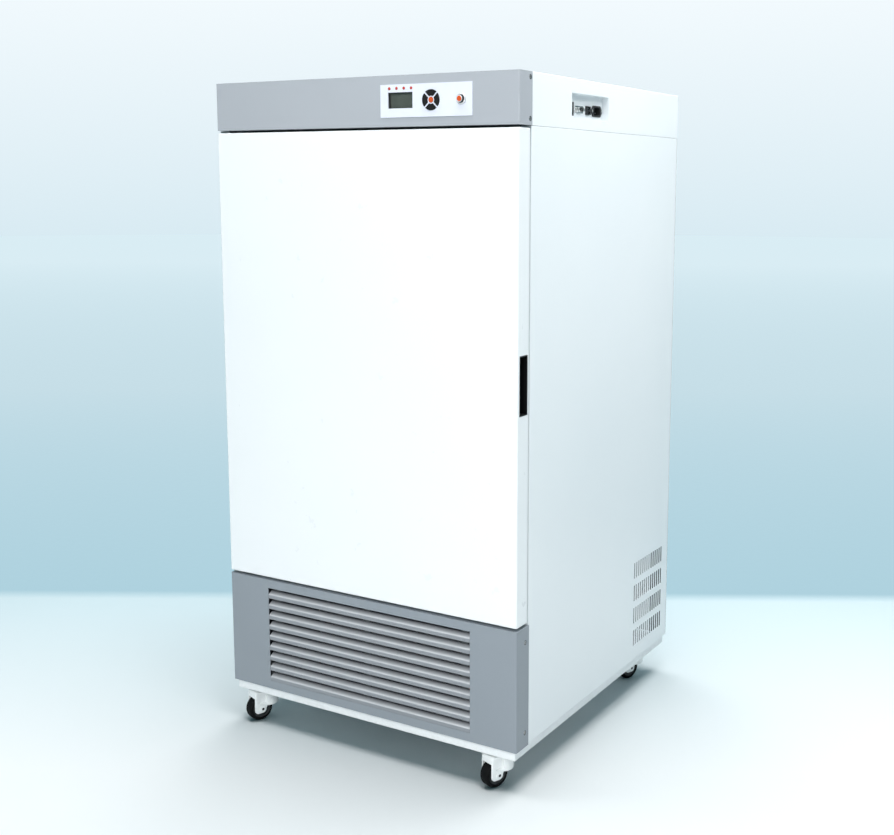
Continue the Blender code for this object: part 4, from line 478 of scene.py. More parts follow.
# The seal's grey is darkened so that the gap round the door reads as shade: painted shade.
SHADED_SEAL = plastic("seal_vinyl", (0.20, 0.215, 0.23), 0.55, 900.0, 0.02 * MM, 0.94)
CASTER_DUST = (0.0, 0.03)
CASTER_WHITE = plastic(
    "caster_nylon", (0.92, 0.935, 0.935), 0.26, 900.0, 0.01 * MM, 0.96, CASTER_DUST, coat=0.3
)
TYRE = plastic("caster_tyre", (0.005, 0.005, 0.0055), 0.65, 1600.0, 0.03 * MM, 0.8, specular=0.1)
SOCKET_INSERT = plastic("socket_insert", (0.015, 0.016, 0.018), 0.35, 1800.0, 0.01 * MM)
COMPRESSOR_BLACK = enamel("compressor_enamel", (0.014, 0.014, 0.015), (0.02, 0.02, 0.02), 0.3)


# Meshes

def add_box(bm, low, high):
    size = Vector(high) - Vector(low)
    made = bmesh.ops.create_cube(bm, size=1.0)["verts"]
    bmesh.ops.scale(bm, vec=size, verts=made)
    bmesh.ops.translate(bm, vec=(Vector(high) + Vector(low)) / 2, verts=made)


def add_prism(bm, outline, start, end, place):
    """An outline of (u, v) points swept from start to end; place turns (u, v, w) into a corner."""
    rings = [[bm.verts.new(place(u, v, w)) for u, v in outline] for w in (start, end)]
    count = len(outline)
    faces = [bm.faces.new(rings[0][::-1]), bm.faces.new(rings[1])]
    for i in range(count):
        j = (i + 1) % count
        faces.append(bm.faces.new((rings[0][i], rings[0][j], rings[1][j], rings[1][i])))
    bmesh.ops.recalc_face_normals(bm, faces=faces)


def add_turned(bm, profile, steps, place):
    """A closed (radius, height) profile turned about the local Z axis; place moves each corner."""
    rings = []
    for i in range(steps):
        angle = 2 * math.pi * i / steps
        cos, sin = math.cos(angle), math.sin(angle)
        rings.append([bm.verts.new(place(r * cos, r * sin, h)) for r, h in profile])
    faces = []
    for i in range(steps):
        near, far = rings[i], rings[(i + 1) % steps]
        for k in range(len(profile)):
            after = (k + 1) % len(profile)
            faces.append(bm.faces.new((near[k], far[k], far[after], near[after])))
    bmesh.ops.remove_doubles(bm, verts=[v for ring in rings for v in ring], dist=1e-7)
    bmesh.ops.recalc_face_normals(bm, faces=[face for face in faces if face.is_valid])


def add_pipe(bm, path, radius, sides=12):
    """A round bar along a path of points, closed at both ends."""
    points = [Vector(point) for point in path]
    along = (points[1] - points[0]).normalized()
    side = along.orthogonal().normalized()
    rings = []
    for i, point in enumerate(points):
        before = points[max(i - 1, 0)]
        after = points[min(i + 1, len(points) - 1)]
        turned = (after - before).normalized()
        side = (side - side.dot(turned) * turned).normalized()
        other = turned.cross(side)
        ring = []
        for k in range(sides):
            angle = 2 * math.pi * k / sides
            out = math.cos(angle) * side + math.sin(angle) * other
            ring.append(bm.verts.new(point + radius * out))
        rings.append(ring)
    faces = [bm.faces.new(rings[0][::-1]), bm.faces.new(rings[-1])]
    for near, far in zip(rings, rings[1:]):
        for k in range(sides):
            j = (k + 1) % sides
            faces.append(bm.faces.new((near[k], near[j], far[j], far[k])))
    bmesh.ops.recalc_face_normals(bm, faces=faces)


def add_framed(bm, outer, profile, upright=1.0):
    """A profile of (inset, depth) points run round a rectangle in X and Z, mitred at its corners.

    Upright scales the insets at the top and bottom.
    """
    x0, z0, x1, z1 = outer
    rings = []
    for inset, depth in profile:
        left, right = x0 + inset, x1 - inset
        foot, top = z0 + inset * upright, z1 - inset * upright
        corners = ((left, foot), (right, foot), (right, top), (left, top))
        rings.append([bm.verts.new((x, depth, z)) for x, z in corners])
    return rings


def close_rings(bm, rings, closed):
    """Joins rings of corners with quads. Closed joins the last to the first, else both are capped."""
    faces = []
    count = len(rings)
    for i in range(count if closed else count - 1):
        near, far = rings[i], rings[(i + 1) % count]
        for k in range(len(near)):
            j = (k + 1) % len(near)
            faces.append(bm.faces.new((near[k], near[j], far[j], far[k])))
    if not closed:
        faces += [bm.faces.new(rings[0][::-1]), bm.faces.new(rings[-1])]
    bmesh.ops.recalc_face_normals(bm, faces=faces)


def arc(centre, radius, start, end, steps):
    points = []
    for i in range(steps + 1):
        angle = math.radians(start + (end - start) * i / steps)
        points.append((centre[0] + radius * math.cos(angle), centre[1] + radius * math.sin(angle)))
    return points


def circle(centre, radius, steps=32):
    return arc(centre, radius, 0, 360 * (steps - 1) / steps, steps - 1)


def rounded(width, height, radius, centre=(0.0, 0.0), steps=4):
    """A rectangle with round corners."""
    u, v = width / 2 - radius, height / 2 - radius
    points = []
    for k, (su, sv) in enumerate(((1, 1), (-1, 1), (-1, -1), (1, -1))):
        middle = (centre[0] + su * u, centre[1] + sv * v)
        points += arc(middle, radius, 90 * k, 90 * k + 90, steps)
    return points


def filleted(path, radius, steps=4):
    """A flat path whose corners are rounded."""
    points = [Vector(path[0])]
    for before, corner, after in zip(path, path[1:], path[2:]):
        corner = Vector(corner)
        back, forth = (Vector(before) - corner).normalized(), (Vector(after) - corner).normalized()
        half = back.angle(forth) / 2
        reach = radius / math.tan(half)
        centre = corner + (back + forth).normalized() * (radius / math.sin(half))
        start, end = corner + back * reach - centre, corner + forth * reach - centre
        swept = math.atan2(start.x * end.y - start.y * end.x, start.dot(end))
        for i in range(steps + 1):
            points.append(centre + Matrix.Rotation(swept * i / steps, 2) @ start)
    points.append(Vector(path[-1]))
    return points


def rounded_path(corners, radius, steps, centre):
    """A closed outline about a centre, whose corners are rounded."""
    closed = [Vector(point) for point in corners[-1:] + corners + corners[:1]]
    points = filleted(closed, radius, steps)[1:-1]
    return [(centre[0] + point.x, centre[1] + point.y) for point in points]


def sheet_outline(points, thickness):
    """The outline of a sheet that is folded along a flat path, the path on one of its faces."""
    normals = []
    for i in range(len(points)):
        along = (points[min(i + 1, len(points) - 1)] - points[max(i - 1, 0)]).normalized()
        normals.append(Vector((-along.y, along.x)))
    other = [point + normal * thickness for point, normal in zip(points, normals)]
    return [tuple(point) for point in points] + [tuple(point) for point in reversed(other)]


def along_x(u, v, w):
    return (w, u, v)


def along_y(u, v, w):
    return (u, w, v)


def along_z(u, v, w):
    return (u, v, w)


def sharp_edges(bm, angle):
    limit = math.radians(angle)
    return [e for e in bm.edges if len(e.link_faces) == 2 and e.calc_face_angle(0.0) > limit]


def round_edges(bm, edges, width, segments):
    bmesh.ops.bevel(
        bm,
        geom=edges,
        offset=width,
        offset_type="OFFSET",
        segments=segments,
        profile=0.5,
        affect="EDGES",
        clamp_overlap=True,
    )


def box_edges(bm, skip):
    """The edges that lie on the edges of the mesh's own box, apart from those on the skipped side."""
    low = [min(v.co[axis] for v in bm.verts) for axis in range(3)]
    high = [max(v.co[axis] for v in bm.verts) for axis in range(3)]
    found = []
    for edge in bm.edges:
        sides = []
        for axis in range(3):
            for name, level in (("low", low[axis]), ("high", high[axis])):
                if all(abs(v.co[axis] - level) < 1e-5 for v in edge.verts):
                    sides.append((axis, name))
        if len(sides) == 2 and skip not in sides and edge.calc_face_angle(0.0) > 1.0:
            found.append(edge)
    return found


def evaluated(made):
    graph = bpy.context.evaluated_depsgraph_get()
    mesh = bpy.data.meshes.new_from_object(made.evaluated_get(graph), depsgraph=graph)
    made.modifiers.clear()
    made.data = mesh
    return made


def weighted(made):
    """Flat faces stay flat to the light and only the rounded edges turn."""
    step = made.modifiers.new("weighted", "WEIGHTED_NORMAL")
    step.keep_sharp = True
    step.weight = 60
    return evaluated(made)


def hand_over(made, body, nodes=()):
    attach(made, body)
    if nodes:
        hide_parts(*nodes)
    return made


def as_object(name, bm, looks):
    mesh = bpy.data.meshes.new(name)
    bm.to_mesh(mesh)
    bm.free()
    for look in looks:
        mesh.materials.append(look)
    mesh.shade_smooth()
    made = bpy.data.objects.new(name, mesh)
    scene.collection.objects.link(made)
    return made


def combined(made, bm, operation="DIFFERENCE"):
    """A piece with another closed shape taken out of it, or united with it."""
    other = as_object(made.name + "_tool", bm, [])
    step = made.modifiers.new("combined", "BOOLEAN")
    step.operation = operation
    step.solver = "EXACT"
    step.use_self = True
    step.object = other
    evaluated(made)
    bpy.data.objects.remove(other)
    return made


def piece(name, bm, looks, body, nodes=(), width=0.0, segments=2, angle=35, cups=None):
    """A finished piece: its sharp edges rounded, its normals weighted, handed to its body."""
    if width:
        round_edges(bm, sharp_edges(bm, angle), width, segments)
    made = as_object(name, bm, looks if isinstance(looks, list) else [looks])
    if cups:
        combined(made, cups)
    made.data.set_sharp_from_angle(angle=math.radians(50))
    return hand_over(weighted(made), body, nodes)


def paint_inside_shade(bm):
    """The faces that look into the cabinet take the second finish, near-black: painted shade."""
    for face in bm.faces:
        centre = face.calc_center_median()
        inward = Vector((-centre.x, -centre.y, 0.0)).normalized()
        if face.normal.dot(inward) > 0.6:
            face.material_index = 1


def softened(node, look, width, outer=0.0, skip=None, cups=None):
    """A node's own shape with its edges rounded as a press or a mould leaves them."""
    bm = bmesh.new()
    bm.from_mesh(frame["nodes"][node].data)
    bmesh.ops.remove_doubles(bm, verts=bm.verts, dist=1e-6)
    bmesh.ops.dissolve_limit(bm, angle_limit=math.radians(0.6), verts=bm.verts, edges=bm.edges)
    if outer:
        round_edges(bm, box_edges(bm, skip), outer, 4)
    # With two finishes, the faces that look inward take the second one: painted shade.
    if isinstance(look, list):
        paint_inside_shade(bm)
    return piece(node + "_rounded", bm, look, BODY_OF[node], [node], width, cups=cups)


def dress_node(node, look):
    """A node that stays as it is and only gets its finish."""
    made = frame["nodes"][node]
    for entry in made.material_slots:
        entry.material = look
    return made


# Repeats

def same_on_all_axes(tree, value):
    return add_node(tree, "ShaderNodeCombineXYZ", {0: value, 1: value, 2: value}).outputs[0]


def put_on(tree, points, shape, more=None):
    """Copies of a shape on points."""
    inputs = {"Points": points, "Instance": shape}
    inputs.update(more or {})
    return add_node(tree, "GeometryNodeInstanceOnPoints", inputs).outputs[0]


def end_tree(tree, geometry, finish, result):
    """The copies made real and given their finish."""
    whole = add_node(tree, "GeometryNodeRealizeInstances", {0: geometry}).outputs[0]
    finished = add_node(tree, "GeometryNodeSetMaterial", {"Geometry": whole, "Material": finish})
    tree.links.new(finished.outputs[0], result["Geometry"])


def repeat_in_row():
    """Copies of one shape along a straight line."""
    tree, given, result = new_group(
        "repeat_in_row",
        "GeometryNodeTree",
        [
            ("Shape", "NodeSocketObject", None),
            ("Count", "NodeSocketInt", 2),
            ("Start", "NodeSocketVector", None),
            ("Step", "NodeSocketVector", None),
            ("Finish", "NodeSocketMaterial", None),
        ],
        [("Geometry", "NodeSocketGeometry")],
    )
    line = add_node(
        tree,
        "GeometryNodeMeshLine",
        {"Count": given["Count"], "Start Location": given["Start"], "Offset": given["Step"]},
        mode="OFFSET",
    )
    shape = add_node(tree, "GeometryNodeObjectInfo", {"Object": given["Shape"]})
    copies = put_on(tree, line.outputs[0], shape.outputs["Geometry"])
    end_tree(tree, copies, given["Finish"], result)
    return tree


def repeat_round():
    """Copies of one shape turned about an axis along Y."""
    tree, given, result = new_group(
        "repeat_round",
        "GeometryNodeTree",
        [
            ("Shape", "NodeSocketObject", None),
            ("Count", "NodeSocketInt", 5),
            ("Centre", "NodeSocketVector", None),
            ("Finish", "NodeSocketMaterial", None),
        ],
        [("Geometry", "NodeSocketGeometry")],
    )
    inputs = {"Count": given["Count"], "Start Location": given["Centre"], "Offset": (0.0, 0.0, 0.0)}
    points = add_node(tree, "GeometryNodeMeshLine", inputs, mode="OFFSET")
    index = add_node(tree, "GeometryNodeInputIndex").outputs[0]
    share = maths(tree, "DIVIDE", index, given["Count"])
    angle = maths(tree, "MULTIPLY", share, 2 * math.pi)
    euler = add_node(tree, "ShaderNodeCombineXYZ", {"Y": angle}).outputs[0]
    turn = add_node(tree, "FunctionNodeEulerToRotation", {0: euler}).outputs[0]
    shape = add_node(tree, "GeometryNodeObjectInfo", {"Object": given["Shape"]})
    copies = put_on(tree, points.outputs[0], shape.outputs["Geometry"], {"Rotation": turn})
    end_tree(tree, copies, given["Finish"], result)
    return tree


def set_on_points():
    """Copies of one shape on points, each standing along its point's facing and turned at random."""
    tree, given, result = new_group(
        "set_on_points",
        "GeometryNodeTree",
        [
            ("Points", "NodeSocketGeometry", None),
            ("Shape", "NodeSocketObject", None),
            ("Size", "NodeSocketFloat", 1.0),
            ("Turn", "NodeSocketFloat", 3.14),
            ("Seed", "NodeSocketInt", 7),
            ("Finish", "NodeSocketMaterial", None),
        ],
        [("Geometry", "NodeSocketGeometry")],
    )
    named = {"Name": "facing"}
    facing = add_node(tree, "GeometryNodeInputNamedAttribute", named, data_type="FLOAT_VECTOR").outputs[0]
    upright = add_node(tree, "FunctionNodeAlignRotationToVector", {"Vector": facing}, axis="Z").outputs[0]
    inputs = {"Max": given["Turn"], "Seed": given["Seed"]}
    angle = add_node(tree, "FunctionNodeRandomValue", inputs, data_type="FLOAT")
    euler = add_node(tree, "ShaderNodeCombineXYZ", {"Z": angle.outputs["Value"]}).outputs[0]
    spin = add_node(tree, "FunctionNodeEulerToRotation", {0: euler}).outputs[0]
    inputs = {"Rotation": upright, "Rotate By": spin}
    turned = add_node(tree, "FunctionNodeRotateRotation", inputs, rotation_space="LOCAL").outputs[0]
    shape = add_node(tree, "GeometryNodeObjectInfo", {"Object": given["Shape"]})
    more = {"Rotation": turned, "Scale": same_on_all_axes(tree, given["Size"])}
    copies = put_on(tree, given["Points"], shape.outputs["Geometry"], more)
    end_tree(tree, copies, given["Finish"], result)
    return tree


def guard_rings():
    """Concentric wire rings round an axis along Y."""
    tree, given, result = new_group(
        "guard_rings",
        "GeometryNodeTree",
        [
            ("Count", "NodeSocketInt", 7),
            ("First Radius", "NodeSocketFloat", 0.012),
            ("Step", "NodeSocketFloat", 0.008),
            ("Wire Radius", "NodeSocketFloat", 0.001),
            ("Centre", "NodeSocketVector", None),
            ("Finish", "NodeSocketMaterial", None),
        ],
        [("Geometry", "NodeSocketGeometry")],
    )
    inputs = {"Count": given["Count"], "Offset": (0.0, 0.0, 0.0)}
    points = add_node(tree, "GeometryNodeMeshLine", inputs, mode="OFFSET")
    index = add_node(tree, "GeometryNodeInputIndex").outputs[0]
    radius = maths(tree, "ADD", maths(tree, "MULTIPLY", index, given["Step"]), given["First Radius"])
    loop = add_node(tree, "GeometryNodeCurvePrimitiveCircle", {"Resolution": 64, "Radius": 1.0})
    size = {"Scale": same_on_all_axes(tree, radius)}
    copies = put_on(tree, points.outputs[0], loop.outputs["Curve"], size)
    curves = add_node(tree, "GeometryNodeRealizeInstances", {0: copies}).outputs[0]
    inputs = {"Resolution": 8, "Radius": given["Wire Radius"]}
    wire = add_node(tree, "GeometryNodeCurvePrimitiveCircle", inputs).outputs["Curve"]
    inputs = {"Curve": curves, "Profile Curve": wire}
    solid = add_node(tree, "GeometryNodeCurveToMesh", inputs).outputs[0]
    upright = (math.pi / 2, 0.0, 0.0)
    inputs = {"Geometry": solid, "Translation": given["Centre"], "Rotation": upright}
    stood = add_node(tree, "GeometryNodeTransform", inputs).outputs[0]
    end_tree(tree, stood, given["Finish"], result)
    return tree


IN_ROW = repeat_in_row()
ROUND_AXIS = repeat_round()
ON_POINTS = set_on_points()
RINGS = guard_rings()


def grown(name, tree, values, mesh=None):
    """The plain mesh that a node tree makes, as an object that holds no modifier."""
    made = bpy.data.objects.new(name, mesh or bpy.data.meshes.new(name))
    scene.collection.objects.link(made)
    step = made.modifiers.new("grown", "NODES")
    step.node_group = tree
    for item in tree.interface.items_tree:
        if item.item_type == "SOCKET" and item.in_out == "INPUT" and item.name in values:
            step[item.identifier] = values[item.name]
    return evaluated(made)


def master(name, bm, width=0.0, angle=35):
    """A shape that is only there to be repeated."""
    if width:
        round_edges(bm, sharp_edges(bm, angle), width, 2)
    made = as_object(name, bm, [])
    made.data.set_sharp_from_angle(angle=math.radians(50))
    return weighted(made)


def row(name, shape, count, step, look, body, nodes=()):
    """A shape repeated in a row from where it stands, as one piece. The shape itself is taken away."""
    values = {"Shape": shape, "Count": count, "Start": (0.0, 0.0, 0.0), "Step": step, "Finish": look}
    made = grown(name, IN_ROW, values)
    bpy.data.objects.remove(shape)
    return hand_over(made, body, nodes)


def on_points(name, shape, places, size, look, body, seed=7, turn=math.pi):
    """A shape set on each place, which is a point with the direction that it faces."""
    mesh = bpy.data.meshes.new(name + "_points")
    mesh.from_pydata([tuple(point) for point, facing in places], [], [])
    attribute = mesh.attributes.new("facing", "FLOAT_VECTOR", "POINT")
    for item, (point, facing) in zip(attribute.data, places):
        item.vector = facing
    values = {"Shape": shape, "Size": size, "Turn": turn, "Seed": seed, "Finish": look}
    return hand_over(grown(name, ON_POINTS, values, mesh), body)


def in_square(centre, reach, level, facing):
    """Four places in a square, facing up or down."""
    x, y = centre
    corners = [(x + i * reach, y + j * reach, level) for i in (-1, 1) for j in (-1, 1)]
    return [(corner, (0.0, 0.0, facing)) for corner in corners]


def crossed(name, profile, floor):
    """A screw head of this profile, with a cross recess down to the floor."""
    bm = bmesh.new()
    add_turned(bm, profile, 24, along_z)
    head = as_object(name, bm, [])
    bm = bmesh.new()
    for long, short in ((1.9 * MM, 0.45 * MM), (0.45 * MM, 1.9 * MM)):
        add_box(bm, (-long, -short, floor), (long, short, 3.0 * MM))
    combined(head, bm)
    head.data.set_sharp_from_angle(angle=math.radians(40))
    return head


def pan_head():
    """A screw head 7 mm wide that stands on Z = 0."""
    dome = arc((0.0, -4.2 * MM), 5.9 * MM, 53, 90, 6)
    profile = [(0.0, -0.4 * MM), (3.5 * MM, -0.4 * MM)] + [(r, max(h, 0.5 * MM)) for r, h in dome[:-1]]
    return crossed("pan_head", profile + [(0.0, 1.7 * MM)], 0.7 * MM)


def sunk_head():
    """A screw head 6 mm wide that lies just under Z = 0, the face of its sheet."""
    profile = [(0.0, -1.0 * MM), (2.5 * MM, -1.0 * MM), (3.0 * MM, -0.55 * MM), (2.9 * MM, -0.28 * MM)]
    profile += [(1.7 * MM, -0.12 * MM), (0.0, -0.06 * MM)]
    return crossed("sunk_head", profile, -0.6 * MM)


def screw_cups(places):
    """The round cups that sunk screw heads lie in, as one shape to take out of a sheet. Their faces take the
    sheet's second, near-black finish: painted shade round the heads.
    """
    bm = bmesh.new()
    profile = [(0.0, -0.9 * MM), (3.6 * MM, -0.9 * MM), (4.3 * MM, 0.0)]
    profile += [(4.3 * MM, 1.0 * MM), (0.0, 1.0 * MM)]
    for point, facing in places:
        turn = Vector(facing).to_track_quat("Z", "Y")
        add_turned(bm, profile, 28, lambda u, v, w: Vector(point) + turn @ Vector((u, v, w)))
    # The cups take the second finish, near-black: painted shade round the screw heads.
    for face in bm.faces:
        face.material_index = 1
    return bm


def bolt_shape():
    """A hexagon-head bolt 10 mm across, standing on Z = 0 with its washer."""
    bm = bmesh.new()
    add_prism(bm, circle((0.0, 0.0), 5.6 * MM, 6), 0.8 * MM, 3.4 * MM, along_z)
    add_prism(bm, circle((0.0, 0.0), 6.5 * MM, 24), 0.0, 0.8 * MM, along_z)
    return master("bolt", bm, 0.35 * MM)


SCREW = pan_head()
SUNK = sunk_head()
BOLT = bolt_shape()


# Outer shell

def fascia_screws(node, back, levels):
    """Where the two screws sit on each folded side of a fascia."""
    low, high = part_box(node)
    sides = ((low.x, -1.0), (high.x, 1.0))
    return [
        ((side, low.y + back, high.z - level), (facing, 0.0, 0.0))
        for side, facing in sides
        for level in levels
    ]


def rear_screws():
    """Where the screws sit round the rear panel."""
    low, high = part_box("rear_panel")
    places = []
    inset = 12 * MM
    for i in range(7):
        z = low.z + inset + i * (high.z - low.z - 2 * inset) / 6
        for x in (low.x + inset, high.x - inset):
            places.append(((x, high.y, z), (0.0, 1.0, 0.0)))
    for i in range(1, 4):
        x = low.x + inset + i * (high.x - low.x - 2 * inset) / 4
        for z in (low.z + inset, high.z - inset):
            places.append(((x, high.y, z), (0.0, 1.0, 0.0)))
    return places


def cover_screws():
    """Where the screws sit along the cover's rear edge."""
    low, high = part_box("top_cover")
    step = (high.x - low.x - 0.12) / 3
    return [((low.x + 0.06 + i * step, high.y, low.z + 12 * MM), (0.0, 1.0, 0.0)) for i in range(4)]


def outer_shell():
    """The enamelled sheets with painted shade inside and in the screw cups, and the screws that hold them
    sunk in their faces.
    """
    white, upper, lower = [WHITE, INSIDE_SHADE], [UPPER_GREY, INSIDE_SHADE], [SHADED_LOWER_GREY, INSIDE_SHADE]
    softened("base_tray", TRAY_WHITE, 0.4 * MM, 1.6 * MM, (2, "high"))
    softened("side_panel_right", white, 0.25 * MM, 1.5 * MM, (0, "low"))
    softened("side_panel_left", white, 0.25 * MM, 1.5 * MM, (0, "high"))
    on_upper = fascia_screws("upper_fascia", 0.036, (0.0090, 0.0757))
    on_lower = fascia_screws("lower_fascia", 0.030, (0.0275, 0.1935))
    on_rear, on_cover = rear_screws(), cover_screws()
    softened("top_cover", white, 0.3 * MM, 1.5 * MM, (2, "low"), screw_cups(on_cover))
    softened("rear_panel", white, 0.3 * MM, cups=screw_cups(on_rear))
    softened("upper_fascia", upper, 0.3 * MM, cups=screw_cups(on_upper))
    softened("lower_fascia", lower, 0.3 * MM, cups=screw_cups(on_lower))
    on_points("fascia_screws", SUNK, on_upper + on_lower, 1.0, SCREW_STEEL, "cabinet", 11)
    on_points("rear_screws", SUNK, on_rear + on_cover, 1.0, SCREW_STEEL, "cabinet", 5)


def louvred_intake():
    """Nine folded blades in the lower fascia's opening, tied by three straps behind."""
    low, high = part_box("air_grille")
    blades, stack = 9, 188.5 * MM
    pitch = stack / blades
    first = (low.z + high.z) / 2 - stack / 2 + 0.3 * MM
    front = low.y
    path = [(0.0, 0.0), (0.0, 7.6 * MM), (10.4 * MM, 14.2 * MM)]
    folded = filleted([Vector(point) for point in path], 3.4 * MM, 8)
    outline = sheet_outline(folded, -1.2 * MM)
    bm = bmesh.new()
    add_prism(bm, [(front + u, first + v) for u, v in outline], low.x, high.x, along_x)
    blade = master("louvre_blade", bm, 0.25 * MM, 50)
    step = (0.0, 0.0, pitch)
    row("louvre_blades", blade, blades, step, LOUVRE_GREY, "cabinet", ["air_grille"])
    bm = bmesh.new()
    strap_front, width = front + 8.8 * MM, 16 * MM
    for x in (low.x + width, 0.0, high.x - width):
        add_box(bm, (x - width / 2, strap_front, low.z), (x + width / 2, strap_front + 2 * MM, high.z))
        for foot, top in ((low.z, low.z + 2 * MM), (high.z - 2 * MM, high.z)):
            add_box(bm, (x - width / 2, front + 1.5 * MM, foot), (x + width / 2, strap_front, top))
    # The straps take the near-black inside finish: painted shade behind the blades.
    piece("louvre_straps", bm, INSIDE_SHADE, "cabinet", (), 0.3 * MM)


# Door

def door_shell():
    softened("door_skin", DOOR_WHITE, 0.3 * MM, 2.2 * MM, (1, "high"))
    dress_node("door_foam", FOAM)
    grip()
    door_lining()
    door_seal()


def grip():
    """The recessed grip with a rolled lip and a row of finger ribs on its back wall."""
    softened("handle_grip", GRIP_BLACK, 0.7 * MM)
    low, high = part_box("handle_grip")
    floor = low.x + 2.0 * MM
    bm = bmesh.new()
    middle = ((low.y + high.y) / 2, low.z + 10 * MM)
    outline = rounded(high.y - low.y - 8 * MM, 1.6 * MM, 0.7 * MM, middle, 3)
    add_prism(bm, outline, floor - 0.5 * MM, floor + 1.2 * MM, along_x)
    rib = master("grip_rib", bm, 0.3 * MM)
    count = 17
    step = (high.z - low.z - 20 * MM) / (count - 1)
    row("grip_ribs", rib, count, (0.0, 0.0, step), GRIP_BLACK, "door")


def door_lining():
    """The inner door sheet with its pressed field."""
    low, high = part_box("door_liner")
    outer = (low.x, low.z, high.x, high.z)
    back = high.y
    bm = bmesh.new()
    profile = [(0.0, low.y), (0.0, back), (58 * MM, back), (60 * MM, back + 0.4 * MM)]
    profile += [(64 * MM, back + 2.6 * MM), (66 * MM, back + 3.0 * MM)]
    close_rings(bm, add_framed(bm, outer, profile), False)
    nodes = ["door_liner"]
    piece("door_lining_pressed", bm, PALE_PLASTIC, "door", nodes, 0.2 * MM, angle=12)


def door_seal():
    """The hollow vinyl seal: a foot, two bellows and the flat band that meets the cabinet."""
    low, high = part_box("door_gasket")
    outer = (low.x, low.z, high.x, high.z)
    start, end, width = low.y, high.y, 14 * MM
    middle = (start + end) / 2
    outside = [
        (0.8 * MM, start),
        (0.4 * MM, start + 0.8 * MM),
        (2.2 * MM, start + 1.6 * MM),
        (2.6 * MM, middle - 0.3 * MM),
        (0.9 * MM, middle + 0.2 * MM),
        (0.2 * MM, end - 1.6 * MM),
        (0.3 * MM, end - 0.5 * MM),
        (1.2 * MM, end),
    ]
    inside = [(width - inset, depth) for inset, depth in reversed(outside)]
    bm = bmesh.new()
    close_rings(bm, add_framed(bm, outer, outside + inside), True)
    # The darkened vinyl puts painted shade into the gap round the door.
    made = as_object("door_seal_bellows", bm, [SHADED_SEAL])
    made.data.set_sharp_from_angle(angle=math.radians(70))
    hand_over(weighted(made), "door", ["door_gasket"])


# Control panel

def control_panel():
    softened("control_plate", FILM, 0.15 * MM)
    display()
    lamps()
    arrow_keys()
    centre_key()
    power_ring()
    power_cap()


def display():
    """The screen behind its window, in a black frame."""
    low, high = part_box("lcd_module")
    centre = ((low.x + high.x) / 2, (low.z + high.z) / 2)
    width, height = high.x - low.x, high.z - low.z
    bm = bmesh.new()
    outer = (low.x, low.z, high.x, high.z)
    rim, lip, sunk, upright = 5.6 * MM, 0.6 * MM, 4.4 * MM, 0.36
    profile = [
        (0.0, low.y + 0.1 * MM),
        (rim, low.y + 0.1 * MM),
        (rim + lip, low.y + 0.7 * MM),
        (rim + lip, high.y),
        (0.0, high.y),
    ]
    close_rings(bm, add_framed(bm, outer, profile, upright), True)
    piece("display_frame", bm, BLACK, "cabinet", (), 0.2 * MM)
    bm = bmesh.new()
    width, height = width - 2 * rim - 0.4 * MM, height - 2 * rim * upright - 0.4 * MM
    outline = rounded(width, height, 0.6 * MM, centre, 3)
    add_prism(bm, outline, low.y + sunk, high.y - 0.5 * MM, along_y)
    piece("display_screen", bm, DISPLAY, "cabinet", ["lcd_module"], 0.2 * MM)


def lamps():
    """Four domed lenses in thin sleeves, on their bar behind the fascia."""
    low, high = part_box("indicator_lamps")
    radius, pitch = 2.1 * MM, 15 * MM
    centre_x, z = (low.x + high.x) / 2, (low.z + high.z) / 2
    first = centre_x - 1.5 * pitch

    def forward(u, v, w):
        return (first + u, low.y + w, z + v)

    bm = bmesh.new()
    rim = 2.7 * MM
    profile = [(0.0, 3.4 * MM), (radius, 3.4 * MM), (radius, 0.75 * MM), (rim, 0.75 * MM)]
    profile += [(rim * math.cos(a), 0.7 * MM * (1 - math.sin(a))) for a in (0.15, 0.4, 0.7, 1.0, 1.3)]
    profile.append((0.0, 0.0))
    add_turned(bm, profile, 20, forward)
    lens = master("lamp_lens", bm)
    row("lamp_lenses", lens, 4, (pitch, 0.0, 0.0), LAMP, "cabinet")
    bm = bmesh.new()
    add_box(bm, (low.x, low.y + 3.4 * MM, low.z), (high.x, high.y, high.z))
    piece("lamp_bar", bm, BLACK, "cabinet", ["indicator_lamps"], 0.3 * MM)


KEY_CENTRE = (
    (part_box("key_left")[0].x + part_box("key_right")[1].x) / 2,
    (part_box("key_down")[0].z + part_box("key_up")[1].z) / 2,
)


def arrow_keys():
    """Four rubber keys round the centre one, each with a small arrow moulded on it."""
    outer, inner, cross = 17.2 * MM, 7.0 * MM, 1.6 * MM
    for turn, name in enumerate(("key_right", "key_up", "key_left", "key_down")):
        low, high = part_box(name)
        front, back = low.y, high.y
        middle = 90 * turn
        wide = 45 - math.degrees(math.asin(cross / outer))
        narrow = 45 - math.degrees(math.asin(cross / inner))
        outline = arc(KEY_CENTRE, outer, middle - wide, middle + wide, 20)
        outline += arc(KEY_CENTRE, inner, middle + narrow, middle - narrow, 10)
        bm = bmesh.new()
        add_prism(bm, outline, front, back, along_y)
        round_edges(bm, sharp_edges(bm, 35), 0.45 * MM, 3)
        rubber = len(bm.faces)
        angle = math.radians(middle)
        tip = Vector((math.cos(angle), math.sin(angle)))
        across = Vector((-tip.y, tip.x))
        at = Vector(KEY_CENTRE) + tip * 12.6 * MM
        base, half = at - tip * 0.9 * MM, across * 1.7 * MM
        arrow = [at + tip * 1.5 * MM, base + half, base - half]
        add_prism(bm, [tuple(point) for point in arrow], front - 0.12 * MM, front + 0.2 * MM, along_y)
        bm.faces.ensure_lookup_table()
        for face in bm.faces[rubber:]:
            face.material_index = 1
        piece(name + "_cap", bm, [KEY_RUBBER, KEY_PRINT], name, [name])


